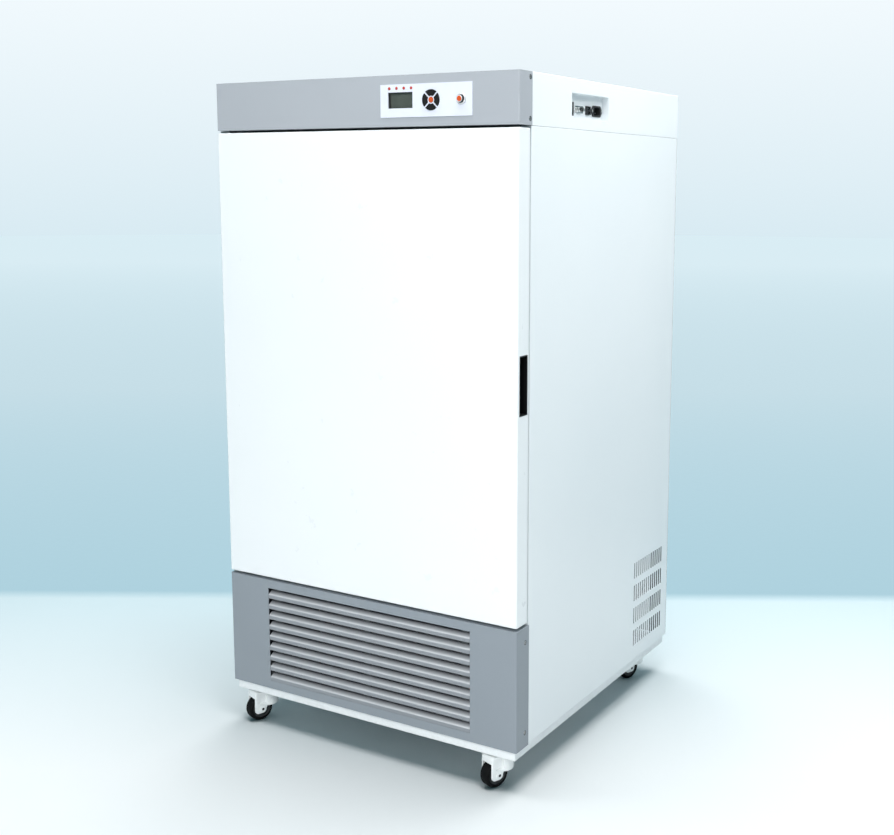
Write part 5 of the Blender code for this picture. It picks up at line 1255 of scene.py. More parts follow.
def centre_key():
    low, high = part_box("key_ok")
    x, z = (low.x + high.x) / 2, (low.z + high.z) / 2
    radius = (high.x - low.x) / 2
    bm = bmesh.new()
    profile = [(0.0, high.y), (radius, high.y)]
    for angle in (0.0, 0.35, 0.7, 1.05):
        profile.append((radius * math.cos(angle), low.y + 0.9 * MM * (1 - math.sin(angle))))
    profile += [(radius * 0.3, low.y + 0.05 * MM), (0.0, low.y)]
    add_turned(bm, profile, 40, lambda u, v, w: (x + u, w, z + v))
    piece("key_ok_cap", bm, ORANGE, "key_ok", ["key_ok"])


def power_ring():
    """The push button's satin ring with its black sleeve behind the plate."""
    low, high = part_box("power_bezel")
    x, z = (low.x + high.x) / 2, (low.z + high.z) / 2
    radius = (high.x - low.x) / 2
    flange, roll = 2.2 * MM, 1.3 * MM
    bm = bmesh.new()
    profile = [(radius, low.y + flange), (radius, low.y + roll)]
    profile += [(radius - roll + r, h) for r, h in arc((0.0, low.y + roll), roll, 0, -80, 6)]
    profile += [(6.9 * MM, low.y + 0.35 * MM), (6.3 * MM, low.y + 1.2 * MM), (6.2 * MM, low.y + flange)]
    add_turned(bm, profile, 56, lambda u, v, w: (x + u, w, z + v))
    piece("power_ring", bm, SATIN, "cabinet", ["power_bezel"])
    bm = bmesh.new()
    sleeve = [
        (7.8 * MM, low.y + flange + 0.05 * MM),
        (7.8 * MM, high.y),
        (0.0, high.y),
        (0.0, low.y + 12 * MM),
        (6.0 * MM, low.y + 12 * MM),
        (6.0 * MM, low.y + 1.4 * MM),
        (6.25 * MM, low.y + 1.4 * MM),
        (6.25 * MM, low.y + flange + 0.05 * MM),
    ]
    add_turned(bm, sleeve, 40, lambda u, v, w: (x + u, w, z + v))
    piece("power_sleeve", bm, BLACK, "cabinet")


def power_cap():
    """The button: an orange lens in a satin rim, on a black plunger."""
    low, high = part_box("power_button")
    x, z = (low.x + high.x) / 2, (low.z + high.z) / 2
    radius, lens = (high.x - low.x) / 2, 4.5 * MM
    bm = bmesh.new()
    profile = [(0.0, high.y), (radius, high.y), (radius, low.y + 0.9 * MM), (radius, low.y + 0.6 * MM)]
    profile += [(radius - 0.25 * MM, low.y + 0.3 * MM), (lens + 0.1 * MM, low.y + 0.25 * MM)]
    profile += [(lens, low.y + 0.4 * MM), (lens - 0.15 * MM, low.y + 0.15 * MM)]
    profile += [(lens * 0.5, low.y + 0.03 * MM), (0.0, low.y)]
    add_turned(bm, profile, 48, lambda u, v, w: (x + u, w, z + v))
    for face in bm.faces:
        centre = face.calc_center_median()
        out = math.hypot(centre.x - x, centre.z - z)
        if centre.y > low.y + 0.8 * MM:
            face.material_index = 2
        elif out > lens:
            face.material_index = 1
    piece("power_cap", bm, [ORANGE, SATIN, BLACK], "power_button", ["power_button"])


def board():
    """The controller's board with its chips, cans and terminal strip."""
    low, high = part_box("controller_board")
    x, z, back = (low.x + high.x) / 2, (low.z + high.z) / 2, low.y + 1.6 * MM
    bm = bmesh.new()
    outline = rounded(high.x - low.x, high.z - low.z, 2.0 * MM, (x, z))
    add_prism(bm, outline, low.y, back, along_y)
    piece("board_laminate", bm, CIRCUIT, "cabinet", ["controller_board"], 0.1 * MM)
    chips = (
        (-45, 0, 26, 26, 2.4),
        (5, 12, 14, 14, 1.6),
        (45, -10, 24, 10, 5.5),
        (5, -14, 18, 7, 3.0),
        (34, 14, 9, 9, 5.0),
    )
    bm = bmesh.new()
    for dx, dz, width, height, deep in chips:
        outline = rounded(width * MM, height * MM, 0.6 * MM, (x + dx * MM, z + dz * MM), 2)
        add_prism(bm, outline, back, back + deep * MM, along_y)
    piece("board_chips", bm, BLACK, "cabinet", (), 0.25 * MM)
    bm = bmesh.new()
    profile = [(0.0, 5.8 * MM), (0.0, 0.0), (3.0 * MM, 0.0), (3.0 * MM, 5.2 * MM), (2.6 * MM, 5.8 * MM)]
    add_turned(bm, profile, 16, lambda u, v, w: (x - 20 * MM + u, back + w, z - 18 * MM + v))
    can = master("board_can", bm)
    row("board_cans", can, 3, (0.0, 0.0, 9 * MM), ALUMINIUM, "cabinet")


# Connector pocket

def pocket():
    softened("connector_pocket", WHITE, 0.4 * MM)
    softened("switch_bezel", BLACK, 0.35 * MM)
    softened("side_rocker", BLACK, 0.4 * MM)
    serial_socket()
    twin_socket()
    power_inlet()


def serial_socket():
    """A nine-pin plug: plated flange and shell, dark insert, nickel pins and two hexagon posts."""
    low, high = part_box("serial_port")
    y, z = (low.y + high.y) / 2, (low.z + high.z) / 2
    face = high.x - 6.2 * MM

    def shell(width, height, corner):
        slant, side, half = height * 0.16, width / 2, height / 2
        path = [(-side + slant, -half), (side - slant, -half), (side, half), (-side, half)]
        return rounded_path(path, corner, 4, (y, z))

    bm = bmesh.new()
    add_prism(bm, rounded(30.8 * MM, 12.5 * MM, 1.6 * MM, (y, z)), face, face + 0.8 * MM, along_x)
    piece("serial_flange", bm, NICKEL, "cabinet", ["serial_port"], 0.2 * MM)
    outer = shell(17.0 * MM, 8.4 * MM, 2.2 * MM)
    inner = shell(15.8 * MM, 7.2 * MM, 1.7 * MM)
    bm = bmesh.new()
    rings = []
    root = face + 0.6 * MM
    for points, level in ((outer, root), (outer, high.x), (inner, high.x), (inner, root)):
        rings.append([bm.verts.new((level, u, v)) for u, v in points])
    close_rings(bm, rings, True)
    piece("serial_shell", bm, NICKEL, "cabinet", (), 0.15 * MM, 2, 60)
    bm = bmesh.new()
    add_prism(bm, shell(15.6 * MM, 7.0 * MM, 1.6 * MM), low.x, face + 1.4 * MM, along_x)
    piece("serial_insert", bm, SOCKET_INSERT, "cabinet")
    for name, count, height in (("serial_pins_upper", 5, 1.42), ("serial_pins_lower", 4, -1.42)):
        bm = bmesh.new()
        start = y - (count - 1) * 1.37 * MM
        level = z + height * MM
        add_pipe(bm, [(face, start, level), (face + 5.4 * MM, start, level)], 0.5 * MM, 10)
        pin = master("serial_pin", bm)
        row(name, pin, count, (0.0, 2.74 * MM, 0.0), NICKEL, "cabinet")
    bm = bmesh.new()
    add_prism(bm, circle((0.0, 0.0), 2.7 * MM, 6), 0.0, 4.6 * MM, along_z)
    post = master("serial_post", bm, 0.3 * MM)
    places = [((face + 0.7 * MM, y + side * 12.5 * MM, z), (1.0, 0.0, 0.0)) for side in (-1, 1)]
    on_points("serial_posts", post, places, 1.0, ZINC, "cabinet", 3)
    bpy.data.objects.remove(post)


def twin_socket():
    """A black block with two lobed openings, one above the other."""
    low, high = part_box("signal_socket")
    y, z = (low.y + high.y) / 2, (low.z + high.z) / 2
    width, height = high.y - low.y, high.z - low.z
    bm = bmesh.new()
    add_prism(bm, rounded(width, height, 1.8 * MM, (y, z)), low.x, high.x, along_x)
    round_edges(bm, sharp_edges(bm, 35), 0.4 * MM, 2)
    body = as_object("signal_block", bm, [BLACK])
    bm = bmesh.new()
    for offset in (-height / 4, height / 4):
        outline = rounded(9.4 * MM, 5.6 * MM, 2.7 * MM, (y, z + offset), 6)
        add_prism(bm, outline, high.x - 8 * MM, high.x + 2 * MM, along_x)
    combined(body, bm)
    body.data.set_sharp_from_angle(angle=math.radians(40))
    hand_over(body, "cabinet", ["signal_socket"])
    step = (0.0, 1.8 * MM, 0.0)
    for name, level in (("signal_contacts_lower", z - height / 4), ("signal_contacts_upper", z + height / 4)):
        start = (high.x - 8.4 * MM, y - 3.1 * MM, level - 0.4 * MM)
        end = (high.x - 1.6 * MM, y - 2.3 * MM, level + 0.4 * MM)
        bm = bmesh.new()
        add_box(bm, start, end)
        row(name, master("signal_contact", bm), 4, step, NICKEL, "cabinet")


def power_inlet():
    """The mains inlet: a pointed flange with two screws, a rounded collar and three flat pins."""
    low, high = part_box("mains_inlet")
    y, z = (low.y + high.y) / 2, (low.z + high.z) / 2
    face = high.x - 3.0 * MM
    tip, half, end = 22 * MM, 13.6 * MM, 10 * MM
    path = [(-tip, 0.0), (-half, -end), (half, -end), (tip, 0.0), (half, end), (-half, end)]
    bm = bmesh.new()
    add_prism(bm, rounded_path(path, 4 * MM, 5, (y, z)), face, high.x - 0.4 * MM, along_x)
    add_prism(bm, rounded(26.8 * MM, 17.6 * MM, 2.5 * MM, (y, z)), low.x, face + 1 * MM, along_x)
    body = as_object("inlet_body", bm, [BLACK])
    bm = bmesh.new()
    opening = rounded(23.6 * MM, 14.5 * MM, 3.4 * MM, (y, z), 6)
    add_prism(bm, opening, high.x - 16 * MM, high.x + 2 * MM, along_x)
    combined(body, bm)
    body.data.set_sharp_from_angle(angle=math.radians(40))
    hand_over(body, "cabinet", ["mains_inlet"])
    collar = (
        (25.6, 16.4, high.x - 0.6 * MM),
        (25.2, 16.0, high.x),
        (23.9, 14.8, high.x),
        (23.5, 14.4, high.x - 3 * MM),
        (23.7, 14.6, high.x - 3.2 * MM),
    )
    bm = bmesh.new()
    rings = []
    for width, height, level in collar:
        points = rounded(width * MM, height * MM, (height / 2 - 3.6) * MM, (y, z), 6)
        rings.append([bm.verts.new((level, u, v)) for u, v in points])
    close_rings(bm, rings, True)
    piece("inlet_collar", bm, BLACK, "cabinet")
    bm = bmesh.new()
    for dy, dz in ((-7.0, -2.1), (0.0, 2.1), (7.0, -2.1)):
        centre = (y + dy * MM, z + dz * MM)
        outline = rounded(2.0 * MM, 4.0 * MM, 0.5 * MM, centre, 2)
        add_prism(bm, outline, high.x - 16.2 * MM, high.x - 6.5 * MM, along_x)
    piece("inlet_pins", bm, NICKEL, "cabinet", (), 0.3 * MM)
    places = [((high.x - 0.5 * MM, y + side * 18.2 * MM, z), (1.0, 0.0, 0.0)) for side in (-1, 1)]
    on_points("inlet_screws", SCREW, places, 0.62, SCREW_STEEL, "cabinet", 9)


# Chamber

def chamber():
    softened("inner_liner", STEEL, 0.25 * MM)
    softened("front_frame", PALE_PLASTIC, 0.7 * MM)
    softened("duct_panel", STEEL, 0.3 * MM)
    softened("temperature_probe", WIRE_STEEL, 0.2 * MM)
    dress_node("insulation", FOAM)
    dress_node("lower_deck", ZINC)
    dress_node("upper_deck", ZINC)
    wire_shelf("shelf_lower")
    wire_shelf("shelf_upper")
    duct_guard()
    duct_screws()


def wire_shelf(node):
    """A shelf of polished wires on a rod frame, with two cross rods under the wires."""
    low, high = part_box(node)
    rod, wire = 2.0 * MM, 1.25 * MM
    corner = 9 * MM
    z = (low.z + high.z) / 2
    middle = ((low.x + high.x) / 2, (low.y + high.y) / 2)
    loop = rounded(high.x - low.x - 2 * rod, high.y - low.y - 2 * rod, corner, middle, 6)
    bm = bmesh.new()
    rings = []
    for i, (x, y) in enumerate(loop):
        before, after = Vector(loop[i - 1]), Vector(loop[(i + 1) % len(loop)])
        along = (after - before).normalized()
        out = Vector((along.y, -along.x))
        ring = []
        for k in range(12):
            angle = 2 * math.pi * k / 12
            reach = rod * math.cos(angle)
            ring.append(bm.verts.new((x + out.x * reach, y + out.y * reach, z + rod * math.sin(angle))))
        rings.append(ring)
    close_rings(bm, rings, True)
    for y in (low.y + 0.3 * (high.y - low.y), low.y + 0.7 * (high.y - low.y)):
        add_pipe(bm, [(low.x + rod, y, low.z + wire), (high.x - rod, y, low.z + wire)], wire, 10)
    made = as_object(node + "_frame", bm, [WIRE_STEEL])
    hand_over(made, "cabinet", [node])
    count = 25
    inside = high.x - low.x - 2 * rod
    step = inside / (count + 1)
    start_x = low.x + rod + step
    bm = bmesh.new()
    level = high.z - wire
    add_pipe(bm, [(start_x, low.y + rod, level), (start_x, high.y - rod, level)], wire, 10)
    wires = master("shelf_wire", bm)
    row(node + "_wires", wires, count, (step, 0.0, 0.0), WIRE_STEEL, "cabinet")


def duct_guard():
    """The wire guard over the circulation fan's opening."""
    low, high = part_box("circulation_fan_motor")
    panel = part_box("duct_panel")[0].y
    centre = ((low.x + high.x) / 2, panel - 3.0 * MM, (low.z + high.z) / 2)
    values = {
        "Count": 8,
        "First Radius": 0.014,
        "Step": 0.0082,
        "Wire Radius": 0.0009,
        "Centre": centre,
        "Finish": WIRE_STEEL,
    }
    made = grown("guard_rings_front", RINGS, values)
    made.data.shade_smooth()
    hand_over(made, "cabinet")
    bm = bmesh.new()
    middle, behind = Vector(centre), Vector((0.0, 1.2 * MM, 0.0))
    for turn in range(4):
        angle = math.pi / 4 + turn * math.pi / 2
        out = Vector((math.cos(angle), 0.0, math.sin(angle)))
        rim = middle + out * 76 * MM
        foot = rim + Vector((0.0, 2.2 * MM, 0.0))
        path = [middle + out * 12 * MM + behind, middle + out * 70 * MM + behind, rim, foot + out * 3 * MM]
        add_pipe(bm, path, 1.1 * MM, 10)
    piece("guard_spokes", bm, WIRE_STEEL, "cabinet")


def duct_screws():
    low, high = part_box("duct_panel")
    places = []
    for x in (low.x + 12 * MM, high.x - 12 * MM):
        for i in range(5):
            z = low.z + 14 * MM + i * (high.z - low.z - 28 * MM) / 4
            places.append(((x, low.y, z), (0.0, -1.0, 0.0)))
    on_points("duct_screws", SCREW, places, 0.85, SCREW_STEEL, "cabinet", 21)


def fan(prefix, size):
    """A fan's frame as cast, and a rotor with a domed hub and swept blades."""
    softened(prefix + "_motor", BLACK, 0.6 * MM)
    low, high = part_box(prefix + "_blade")
    frame_low, frame_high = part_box(prefix + "_motor")
    x, z = (frame_low.x + frame_high.x) / 2, (frame_low.z + frame_high.z) / 2
    hub = 24 * MM
    front, back = low.y, high.y
    tip = size / 2 - 6 * MM
    bm = bmesh.new()
    bore = 3.4 * MM
    profile = [(bore, back), (hub, back)]
    for angle in (0.0, 0.4, 0.8, 1.2, 1.57):
        profile.append((hub - 3 * MM + 3 * MM * math.cos(angle), front + 3 * MM * (1 - math.sin(angle))))
    profile += [(10 * MM, front), (8 * MM, front + 0.8 * MM), (bore, front + 0.8 * MM)]
    add_turned(bm, profile, 40, lambda u, v, w: (x + u, w, z + v))
    piece(prefix + "_hub", bm, BLACK, prefix, [prefix + "_blade"])
    bm = bmesh.new()
    steps, slices = 8, 7
    rows = []
    middle = (front + back) / 2 + 0.8 * MM
    half_depth = (back - front) / 2 - 2.2 * MM
    for i in range(slices + 1):
        share = i / slices
        radius = hub - 1.5 * MM + share * (tip - hub + 1.5 * MM)
        pitch = math.radians(38 - 12 * share)
        half = min(half_depth / math.sin(pitch), 0.52 * radius)
        sweep = math.radians(14) * share
        line = []
        for k in range(steps + 1):
            along = (k / steps * 2 - 1) * half
            camber = (1 - (k / steps * 2 - 1) ** 2) * 0.12 * half
            turn = sweep + (along * math.cos(pitch) - camber * math.sin(pitch)) / radius
            deep = along * math.sin(pitch) + camber * math.cos(pitch)
            line.append(bm.verts.new((radius * math.cos(turn), deep, radius * math.sin(turn))))
        rows.append(line)
    for near, far in zip(rows, rows[1:]):
        for k in range(steps):
            bm.faces.new((near[k], near[k + 1], far[k + 1], far[k]))
    bmesh.ops.solidify(bm, geom=bm.faces, thickness=1.6 * MM)
    bmesh.ops.recalc_face_normals(bm, faces=bm.faces)
    blade = master("swept_blade", bm)
    values = {"Shape": blade, "Count": 5, "Centre": (x, middle, z), "Finish": BLACK}
    made = grown(prefix + "_swept_blades", ROUND_AXIS, values)
    bpy.data.objects.remove(blade)
    hand_over(made, prefix)


# Cooling machine

def coil(node, rows_high, tube):
    """A finned coil: thin fins between end plates, copper tubes through them and their return bends."""
    low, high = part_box(node)
    bend = 14 * MM
    left, right = low.x + bend, high.x - bend
    pitch = 2.6 * MM
    count = int((right - left - 4 * MM) / pitch)
    bm = bmesh.new()
    start = left + 2 * MM
    edge, end = 1 * MM, start + 0.25 * MM
    add_box(bm, (start, low.y + edge, low.z + edge), (end, high.y - edge, high.z - edge))
    fin = master("coil_fin", bm)
    row(node + "_fins", fin, count, (pitch, 0.0, 0.0), ALUMINIUM, "cabinet", [node])
    bm = bmesh.new()
    for x in (left, right - 1.2 * MM):
        add_box(bm, (x, low.y, low.z), (x + 1.2 * MM, high.y, high.z))
    piece(node + "_end_plates", bm, ZINC, "cabinet", (), 0.3 * MM)
    step = (high.z - low.z) / rows_high
    for index, y in enumerate((low.y + 0.28 * (high.y - low.y), low.y + 0.72 * (high.y - low.y))):
        path = []
        for i in range(rows_high):
            z = low.z + (i + 0.5) * step
            there = i % 2 == 0
            ends = (left - 3 * MM, right + 3 * MM) if there else (right + 3 * MM, left - 3 * MM)
            path += [(ends[0], y, z), (ends[1], y, z)]
            if i < rows_high - 1:
                side = 1 if there else -1
                reach = min(step / 2, bend - 4 * MM - tube)
                for k in range(1, 6):
                    angle = math.pi * k / 6
                    level = z + step / 2 - step / 2 * math.cos(angle)
                    path.append((ends[1] + side * reach * math.sin(angle), y, level))
        bm = bmesh.new()
        add_pipe(bm, path, tube, 10)
        made = as_object(f"{node}_tube_{index}", bm, [COPPER])
        hand_over(made, "cabinet")


def compressor():
    """The hermetic compressor: a welded shell on a footed plate, a terminal cover and stub pipes."""
    low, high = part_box("compressor")
    x, y = (low.x + high.x) / 2, (low.y + high.y) / 2
    radius = (high.x - low.x) / 2 - 1.5 * MM
    foot, top = low.z + 14 * MM, high.z
    seam = foot + 0.55 * (top - foot)
    dome, lap = radius * 0.5, 1.5 * MM
    angles = (0.0, 0.3, 0.6, 0.9, 1.2, 1.5708)
    profile = [(radius * math.cos(a), foot + dome - dome * math.sin(a)) for a in reversed(angles)]
    profile += [(radius, seam - 3 * MM), (radius + lap, seam - 2 * MM)]
    profile += [(radius + lap, seam + 2 * MM), (radius - lap, seam + 3 * MM)]
    profile += [((radius - lap) * math.cos(a), top - dome + dome * math.sin(a)) for a in angles]
    bm = bmesh.new()
    add_turned(bm, profile, 56, lambda u, v, w: (x + u, y + v, w))
    piece("compressor_shell", bm, COMPRESSOR_BLACK, "cabinet", ["compressor"])
    bm = bmesh.new()
    half = radius * 0.95
    outline = rounded(2 * half, 2 * half, 14 * MM, (x, y))
    add_prism(bm, outline, low.z + 9.8 * MM, low.z + 12.8 * MM, along_z)
    piece("compressor_plate", bm, COMPRESSOR_BLACK, "cabinet", (), 0.8 * MM)
    bm = bmesh.new()
    profile = [(0.0, 0.0), (10 * MM, 0.0), (11 * MM, 1.5 * MM), (10.5 * MM, 6 * MM), (7 * MM, 7.5 * MM)]
    profile += [(7 * MM, 10 * MM), (9.5 * MM, 11 * MM), (9.5 * MM, 15 * MM)]
    profile += [(4 * MM, 16.5 * MM), (0.0, 16.5 * MM)]
    add_turned(bm, profile, 24, along_z)
    grommet = master("rubber_foot", bm)
    places = in_square((x, y), half * 0.82, low.z, 1.0)
    on_points("compressor_feet", grommet, places, 1.0, TYRE, "cabinet")
    bpy.data.objects.remove(grommet)
    bm = bmesh.new()
    deep = 26 * MM
    outline = rounded(46 * MM, 62 * MM, 6 * MM, (x, seam - 28 * MM))
    add_prism(bm, outline, y - radius - 4 * MM, y - radius - 4 * MM + deep, along_y)
    piece("compressor_terminal_cover", bm, BLACK, "cabinet", (), 2.0 * MM, 3)
    bm = bmesh.new()
    for angle, height, out in ((20, 0.35, 24), (70, 0.30, 20), (110, 0.42, 18)):
        a = math.radians(angle)
        direction = Vector((math.cos(a), math.sin(a), 0.0))
        start = Vector((x, y, foot + height * (top - foot))) + direction * (radius - 4 * MM)
        bend = start + direction * out * MM
        path = [start, bend - direction * 6 * MM, bend - direction * 2 * MM + UP * 1.5 * MM]
        path += [bend + UP * 6 * MM, bend + UP * 40 * MM]
        add_pipe(bm, path, 4 * MM, 12)
    made = as_object("compressor_stub_pipes", bm, [COPPER])
    hand_over(made, "cabinet")


# Casters

CASTER_HEADING = math.radians(21)
WHEEL_CENTRE = (18 * MM, 25 * MM)
WHEEL_RADIUS = 25 * MM
BOSS_RADIUS = 7.8 * MM


def about_kingpin(u, v, w):
    """Turns (forward, up, across) of a caster into the cabinet's directions."""
    sin, cos = math.sin(CASTER_HEADING), math.cos(CASTER_HEADING)
    return (w * cos - u * sin, -w * sin - u * cos, v)


def fork_side():
    """The caster body from the side: hood, wide front leg and the foot round the axle."""
    outline = [(0.0, 60.5 * MM)]
    outline += arc((28.5 * MM, 55.5 * MM), 5 * MM, 90, 0, 5)
    outline += arc((27.0 * MM, 23.6 * MM), 7 * MM, 0, -90, 5)
    outline += arc((WHEEL_CENTRE[0], 24.4 * MM), BOSS_RADIUS, 270, 180, 5)
    return outline + [(6 * MM, 34 * MM), (0.0, 34 * MM)]


def fork_recess():
    """The sunk field between the leg, the hood and the rib that rises from the axle to the housing."""
    corners = [(25.6, 36.0), (26.6, 55.0), (10.5, 55.0), (10.5, 37.0), (17.0, 37.6)]
    return [(u * MM, v * MM) for u, v in corners]


def fork_well():
    """The space of the wheel, open to the front and below."""
    top = arc(WHEEL_CENTRE, WHEEL_RADIUS + 1.3 * MM, 61, 215, 20)
    front = [(60 * MM, -5 * MM), (60 * MM, 48 * MM), (top[0][0], 48 * MM)]
    return front + top + [(top[-1][0], -5 * MM)]


def add_on_both_sides(bm, outline, near, far):
    """An outline swept from near to far of the wheel's middle plane, on its left and right."""
    for ends in ((-far, -near), (near, far)):
        add_prism(bm, outline, *ends, about_kingpin)


def fork_shape():
    """A caster's nylon body about its kingpin: an arched hood and the round housing behind."""
    half, well = 16.0 * MM, 12.2 * MM
    bm = bmesh.new()
    add_prism(bm, fork_side(), -half, half, about_kingpin)
    round_edges(bm, sharp_edges(bm, 35), 1.1 * MM, 3)
    made = as_object("fork_shape", bm, [CASTER_WHITE, BLACK])
    reach, top, foot = 22 * MM, 60.7 * MM, 31 * MM
    profile = [(0.0, foot), (reach - 2 * MM, foot), (reach - 0.6 * MM, foot + 0.6 * MM)]
    profile += [(reach, foot + 2 * MM), (reach, top - 3.5 * MM), (reach - 1 * MM, top - 1 * MM)]
    profile += [(reach - 3.5 * MM, top), (0.0, top)]
    bm = bmesh.new()
    add_turned(bm, profile, 64, along_z)
    combined(made, bm, "UNION")
    bm = bmesh.new()
    add_on_both_sides(bm, circle(WHEEL_CENTRE, BOSS_RADIUS - 0.6 * MM, 40), 13.5 * MM, 16.9 * MM)
    round_edges(bm, sharp_edges(bm, 35), 0.6 * MM, 2)
    combined(made, bm, "UNION")
    bm = bmesh.new()
    add_prism(bm, fork_well(), -well, well, about_kingpin)
    add_prism(bm, circle((0.0, 0.0), 5.3 * MM, 32), 30 * MM, 70 * MM, along_z)
    add_prism(bm, circle((0.0, 0.0), 9.4 * MM, 32), 25 * MM, 53.8 * MM, along_z)
    add_on_both_sides(bm, fork_recess(), 13.5 * MM, 20 * MM)
    combined(made, bm)
    bm = bmesh.new()
    add_on_both_sides(bm, circle(WHEEL_CENTRE, 2.7 * MM, 24), 15.2 * MM, 20 * MM)
    # The axle hole's walls and floor take black: painted shade in the hole.
    for face in bm.faces:
        face.material_index = 1
    combined(made, bm)
    bm = bmesh.new()
    add_prism(bm, circle(WHEEL_CENTRE, 4.0 * MM, 32), -12.4 * MM, 12.4 * MM, about_kingpin)
    return combined(made, bm, "UNION")


def caster(corner, shape):
    """One swivel caster: bolted plate, nylon body, and a wheel with a rounded tread and dished hub."""
    mount, fork, wheel = (f"caster_{corner}_{part}" for part in ("mount", "fork", "wheel"))
    softened(mount, ZINC, 0.35 * MM)
    low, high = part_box(mount)
    x, y = (low.x + high.x) / 2, (low.y + high.y) / 2
    bm = bmesh.new()
    bm.from_mesh(shape.data)
    bmesh.ops.translate(bm, vec=(x, y, 0.0), verts=bm.verts)
    looks = [CASTER_WHITE, BLACK]
    piece(f"caster_{corner}_body", bm, looks, BODY_OF[fork], [fork])
    places = in_square((x, y), 17 * MM, high.z - 2.5 * MM, -1.0)
    on_points(f"caster_{corner}_bolts", BOLT, places, 0.62, ZINC, "cabinet", 13)
    low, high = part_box(wheel)
    centre = (low + high) / 2

    def rolling(u, v, w):
        return centre + Vector(about_kingpin(u, v, w))

    half, shoulder = 11 * MM, 5.0 * MM
    curve = arc((0.0, 0.0), shoulder, 90, 0, 7)
    tread = [(WHEEL_RADIUS - shoulder + r, half - shoulder + h) for r, h in curve]
    mirrored = [(r, -h) for r, h in reversed(tread)]
    profile = [(18.5 * MM, -half + 1.2 * MM), (18.5 * MM, half - 1.2 * MM), (19.5 * MM, half)] + tread
    profile += mirrored + [(19.5 * MM, -half)]
    bm = bmesh.new()
    add_turned(bm, profile, 56, rolling)
    piece(f"caster_{corner}_tyre", bm, TYRE, f"wheel_{corner}", [wheel])
    hub = [(4.3 * MM, -half), (8 * MM, -half), (8.6 * MM, -half + 2.2 * MM)]
    hub += [(17 * MM, -half + 2.6 * MM), (18.8 * MM, -half + 1.0 * MM)]
    hub += [(r, -h) for r, h in reversed(hub)]
    bm = bmesh.new()
    add_turned(bm, hub, 48, rolling)
    piece(f"caster_{corner}_hub", bm, BLACK, f"wheel_{corner}")


def hinges():
    softened("hinge_bracket_top", ZINC, 0.4 * MM)
    softened("hinge_bracket_bottom", ZINC, 0.4 * MM)


outer_shell()
louvred_intake()
door_shell()
control_panel()
board()
pocket()
chamber()
fan("circulation_fan", 0.150)
fan("condenser_fan", 0.176)
coil("condenser", 7, 4.0 * MM)
coil("evaporator", 8, 4.5 * MM)
compressor()
hinges()
FORK = fork_shape()
for corner in ("front_left", "front_right", "rear_left", "rear_right"):
    caster(corner, FORK)
for shape in (FORK, SCREW, SUNK, BOLT):
    bpy.data.objects.remove(shape)


# Studio

BACKDROP_TURN = math.radians(29.74)


def studio_floor():
    """A pale floor that brightens far out and turns to blue paper close behind the cabinet."""
    bm = bmesh.new()
    bmesh.ops.create_circle(bm, cap_ends=True, segments=96, radius=24.0)
    made = as_object("studio_floor", bm, [])
    look, tree, shader, place = new_look("studio_floor")
    inputs = {"Vector": place["Object"], "Rotation": (0.0, 0.0, -BACKDROP_TURN)}
    turned = add_node(tree, "ShaderNodeMapping", inputs).outputs[0]
    behind = add_node(tree, "ShaderNodeSeparateXYZ", {"Vector": turned}).outputs[1]
    speck = noise(tree, place["Object"], 40.0, 3.0)
    cooler = spread(tree, behind, 0.0, 1.0, -0.35, 0.6)
    near = blended(tree, cooler, (0.87, 0.885, 0.89), (0.64, 0.76, 0.80))
    rising = spread(tree, behind, 0.0, 1.0, 0.6, 3.8)
    low = blended(tree, rising, (0.413, 0.624, 0.716), (0.552, 0.708, 0.776))
    paper = blended(tree, spread(tree, behind, 0.0, 1.0, 3.8, 14.0), low, (0.680, 0.815, 0.871))
    on_paper = spread(tree, behind, 0.0, 1.0, 0.58, 0.64)
    fill(tree, shader, {"Base Color": blended(tree, on_paper, near, (0.0, 0.0, 0.0))})
    away = add_node(tree, "ShaderNodeVectorMath", {0: place["Object"]}, operation="LENGTH")
    seen = add_node(tree, "ShaderNodeLightPath").outputs["Is Camera Ray"]
    far = maths(tree, "MULTIPLY", seen, spread(tree, away.outputs["Value"], 0.0, 1.0, 1.7, 6.0))
    glow = blended(tree, far, (0.0, 0.0, 0.0), (0.72, 0.83, 0.87))
    fill(tree, shader, {"Emission Color": blended(tree, on_paper, glow, paper)})
    fill(tree, shader, {"Emission Strength": 1.0, "Roughness": spread(tree, speck, 0.42, 0.5)})
    fill(tree, shader, {"Specular IOR Level": 0.25})
    made.data.materials.append(look)
    return made


def studio_sky():
    """Pale blue paper where the camera sees it, and a dim white room as light."""
    world = bpy.data.worlds.new("studio")
    scene.world = world
    world.use_nodes = True
    tree = world.node_tree
    back = tree.nodes["Background"]
    direction = tree.nodes.new("ShaderNodeTexCoord").outputs["Generated"]
    height = add_node(tree, "ShaderNodeSeparateXYZ", {"Vector": direction}).outputs[2]
    rise = spread(tree, height, 0.0, 1.0, -0.04, 0.14)
    paper = blended(tree, rise, (0.694, 0.831, 0.896), (0.888, 0.956, 0.991))
    seen = add_node(tree, "ShaderNodeLightPath").outputs["Is Camera Ray"]
    room = (0.09, 0.165, 0.185)
    tree.links.new(blended(tree, seen, room, paper), back.inputs["Color"])


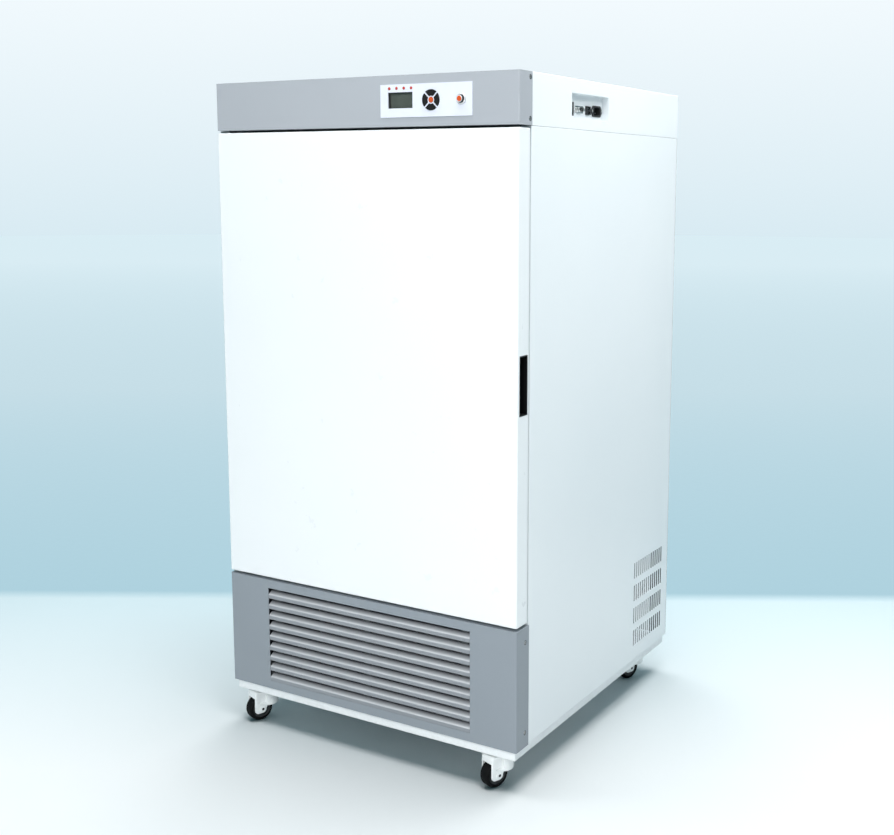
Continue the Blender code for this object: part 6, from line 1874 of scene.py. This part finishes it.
def area_light(name, place, target, size, power, colour=(1.0, 1.0, 1.0), beam=180.0):
    """A softbox; a beam under 180 degrees is that of its honeycomb grid."""
    light = bpy.data.lights.new(name, "AREA")
    light.shape = "RECTANGLE"
    light.size, light.size_y = size
    light.energy = power
    light.color = colour
    light.spread = math.radians(beam)
    made = bpy.data.objects.new(name, light)
    made.location = place
    made.rotation_euler = (Vector(target) - Vector(place)).to_track_quat("-Z", "Y").to_euler()
    scene.collection.objects.link(made)
    return made


def kept_off(light, floor):
    """The floor takes no light from this softbox, so it doesn't wash out the shadow of the others."""
    unlit = bpy.data.collections.new(light.name + "_unlit")
    unlit.objects.link(floor)
    light.light_linking.receiver_collection = unlit
    unlit.collection_objects[0].light_linking.link_state = "EXCLUDE"


def studio_camera():
    """A long view from the front right, a little above the controls."""
    yaw, pitch, roll = math.radians(29.74), math.radians(8.62), math.radians(0.285)
    level = math.cos(pitch)
    ahead = Vector((-math.sin(yaw) * level, math.cos(yaw) * level, -math.sin(pitch)))
    right = ahead.cross(UP).normalized()
    above = right.cross(ahead)
    turn = Matrix((right, above, -ahead)).transposed().to_4x4()
    lens = bpy.data.cameras.new("studio_camera")
    lens.lens = 49.015
    lens.sensor_width = 36.0
    lens.shift_x = -0.0786
    lens.shift_y = -0.0543
    made = bpy.data.objects.new("studio_camera", lens)
    stand = Matrix.Translation((1.312, -2.059, 1.062))
    made.matrix_world = stand @ turn @ Matrix.Rotation(roll, 4, "Z")
    scene.collection.objects.link(made)
    scene.camera = made


floor = studio_floor()
studio_sky()
area_light("top_softbox", (0.1, 0.15, 3.0), (0.1, 0.0, 0.0), (2.6, 2.6), 155.0)
front = area_light("front_softbox", (0.7, -2.7, 2.4), (0.1, -0.3, 0.9), (1.6, 1.2), 59.0)
fill_in = area_light("low_softbox", (0.75, -1.5, 0.35), (0.2, -0.33, 0.4), (0.7, 0.5), 4.0)
warm = (1.0, 0.98, 0.97)
side = area_light("side_softbox", (1.7, 0.25, 2.35), (0.3, 0.05, 1.44), (0.8, 0.8), 2.6, warm, 55.0)
for light in (front, side, fill_in):
    kept_off(light, floor)
studio_camera()
scene.view_settings.view_transform = "Standard"
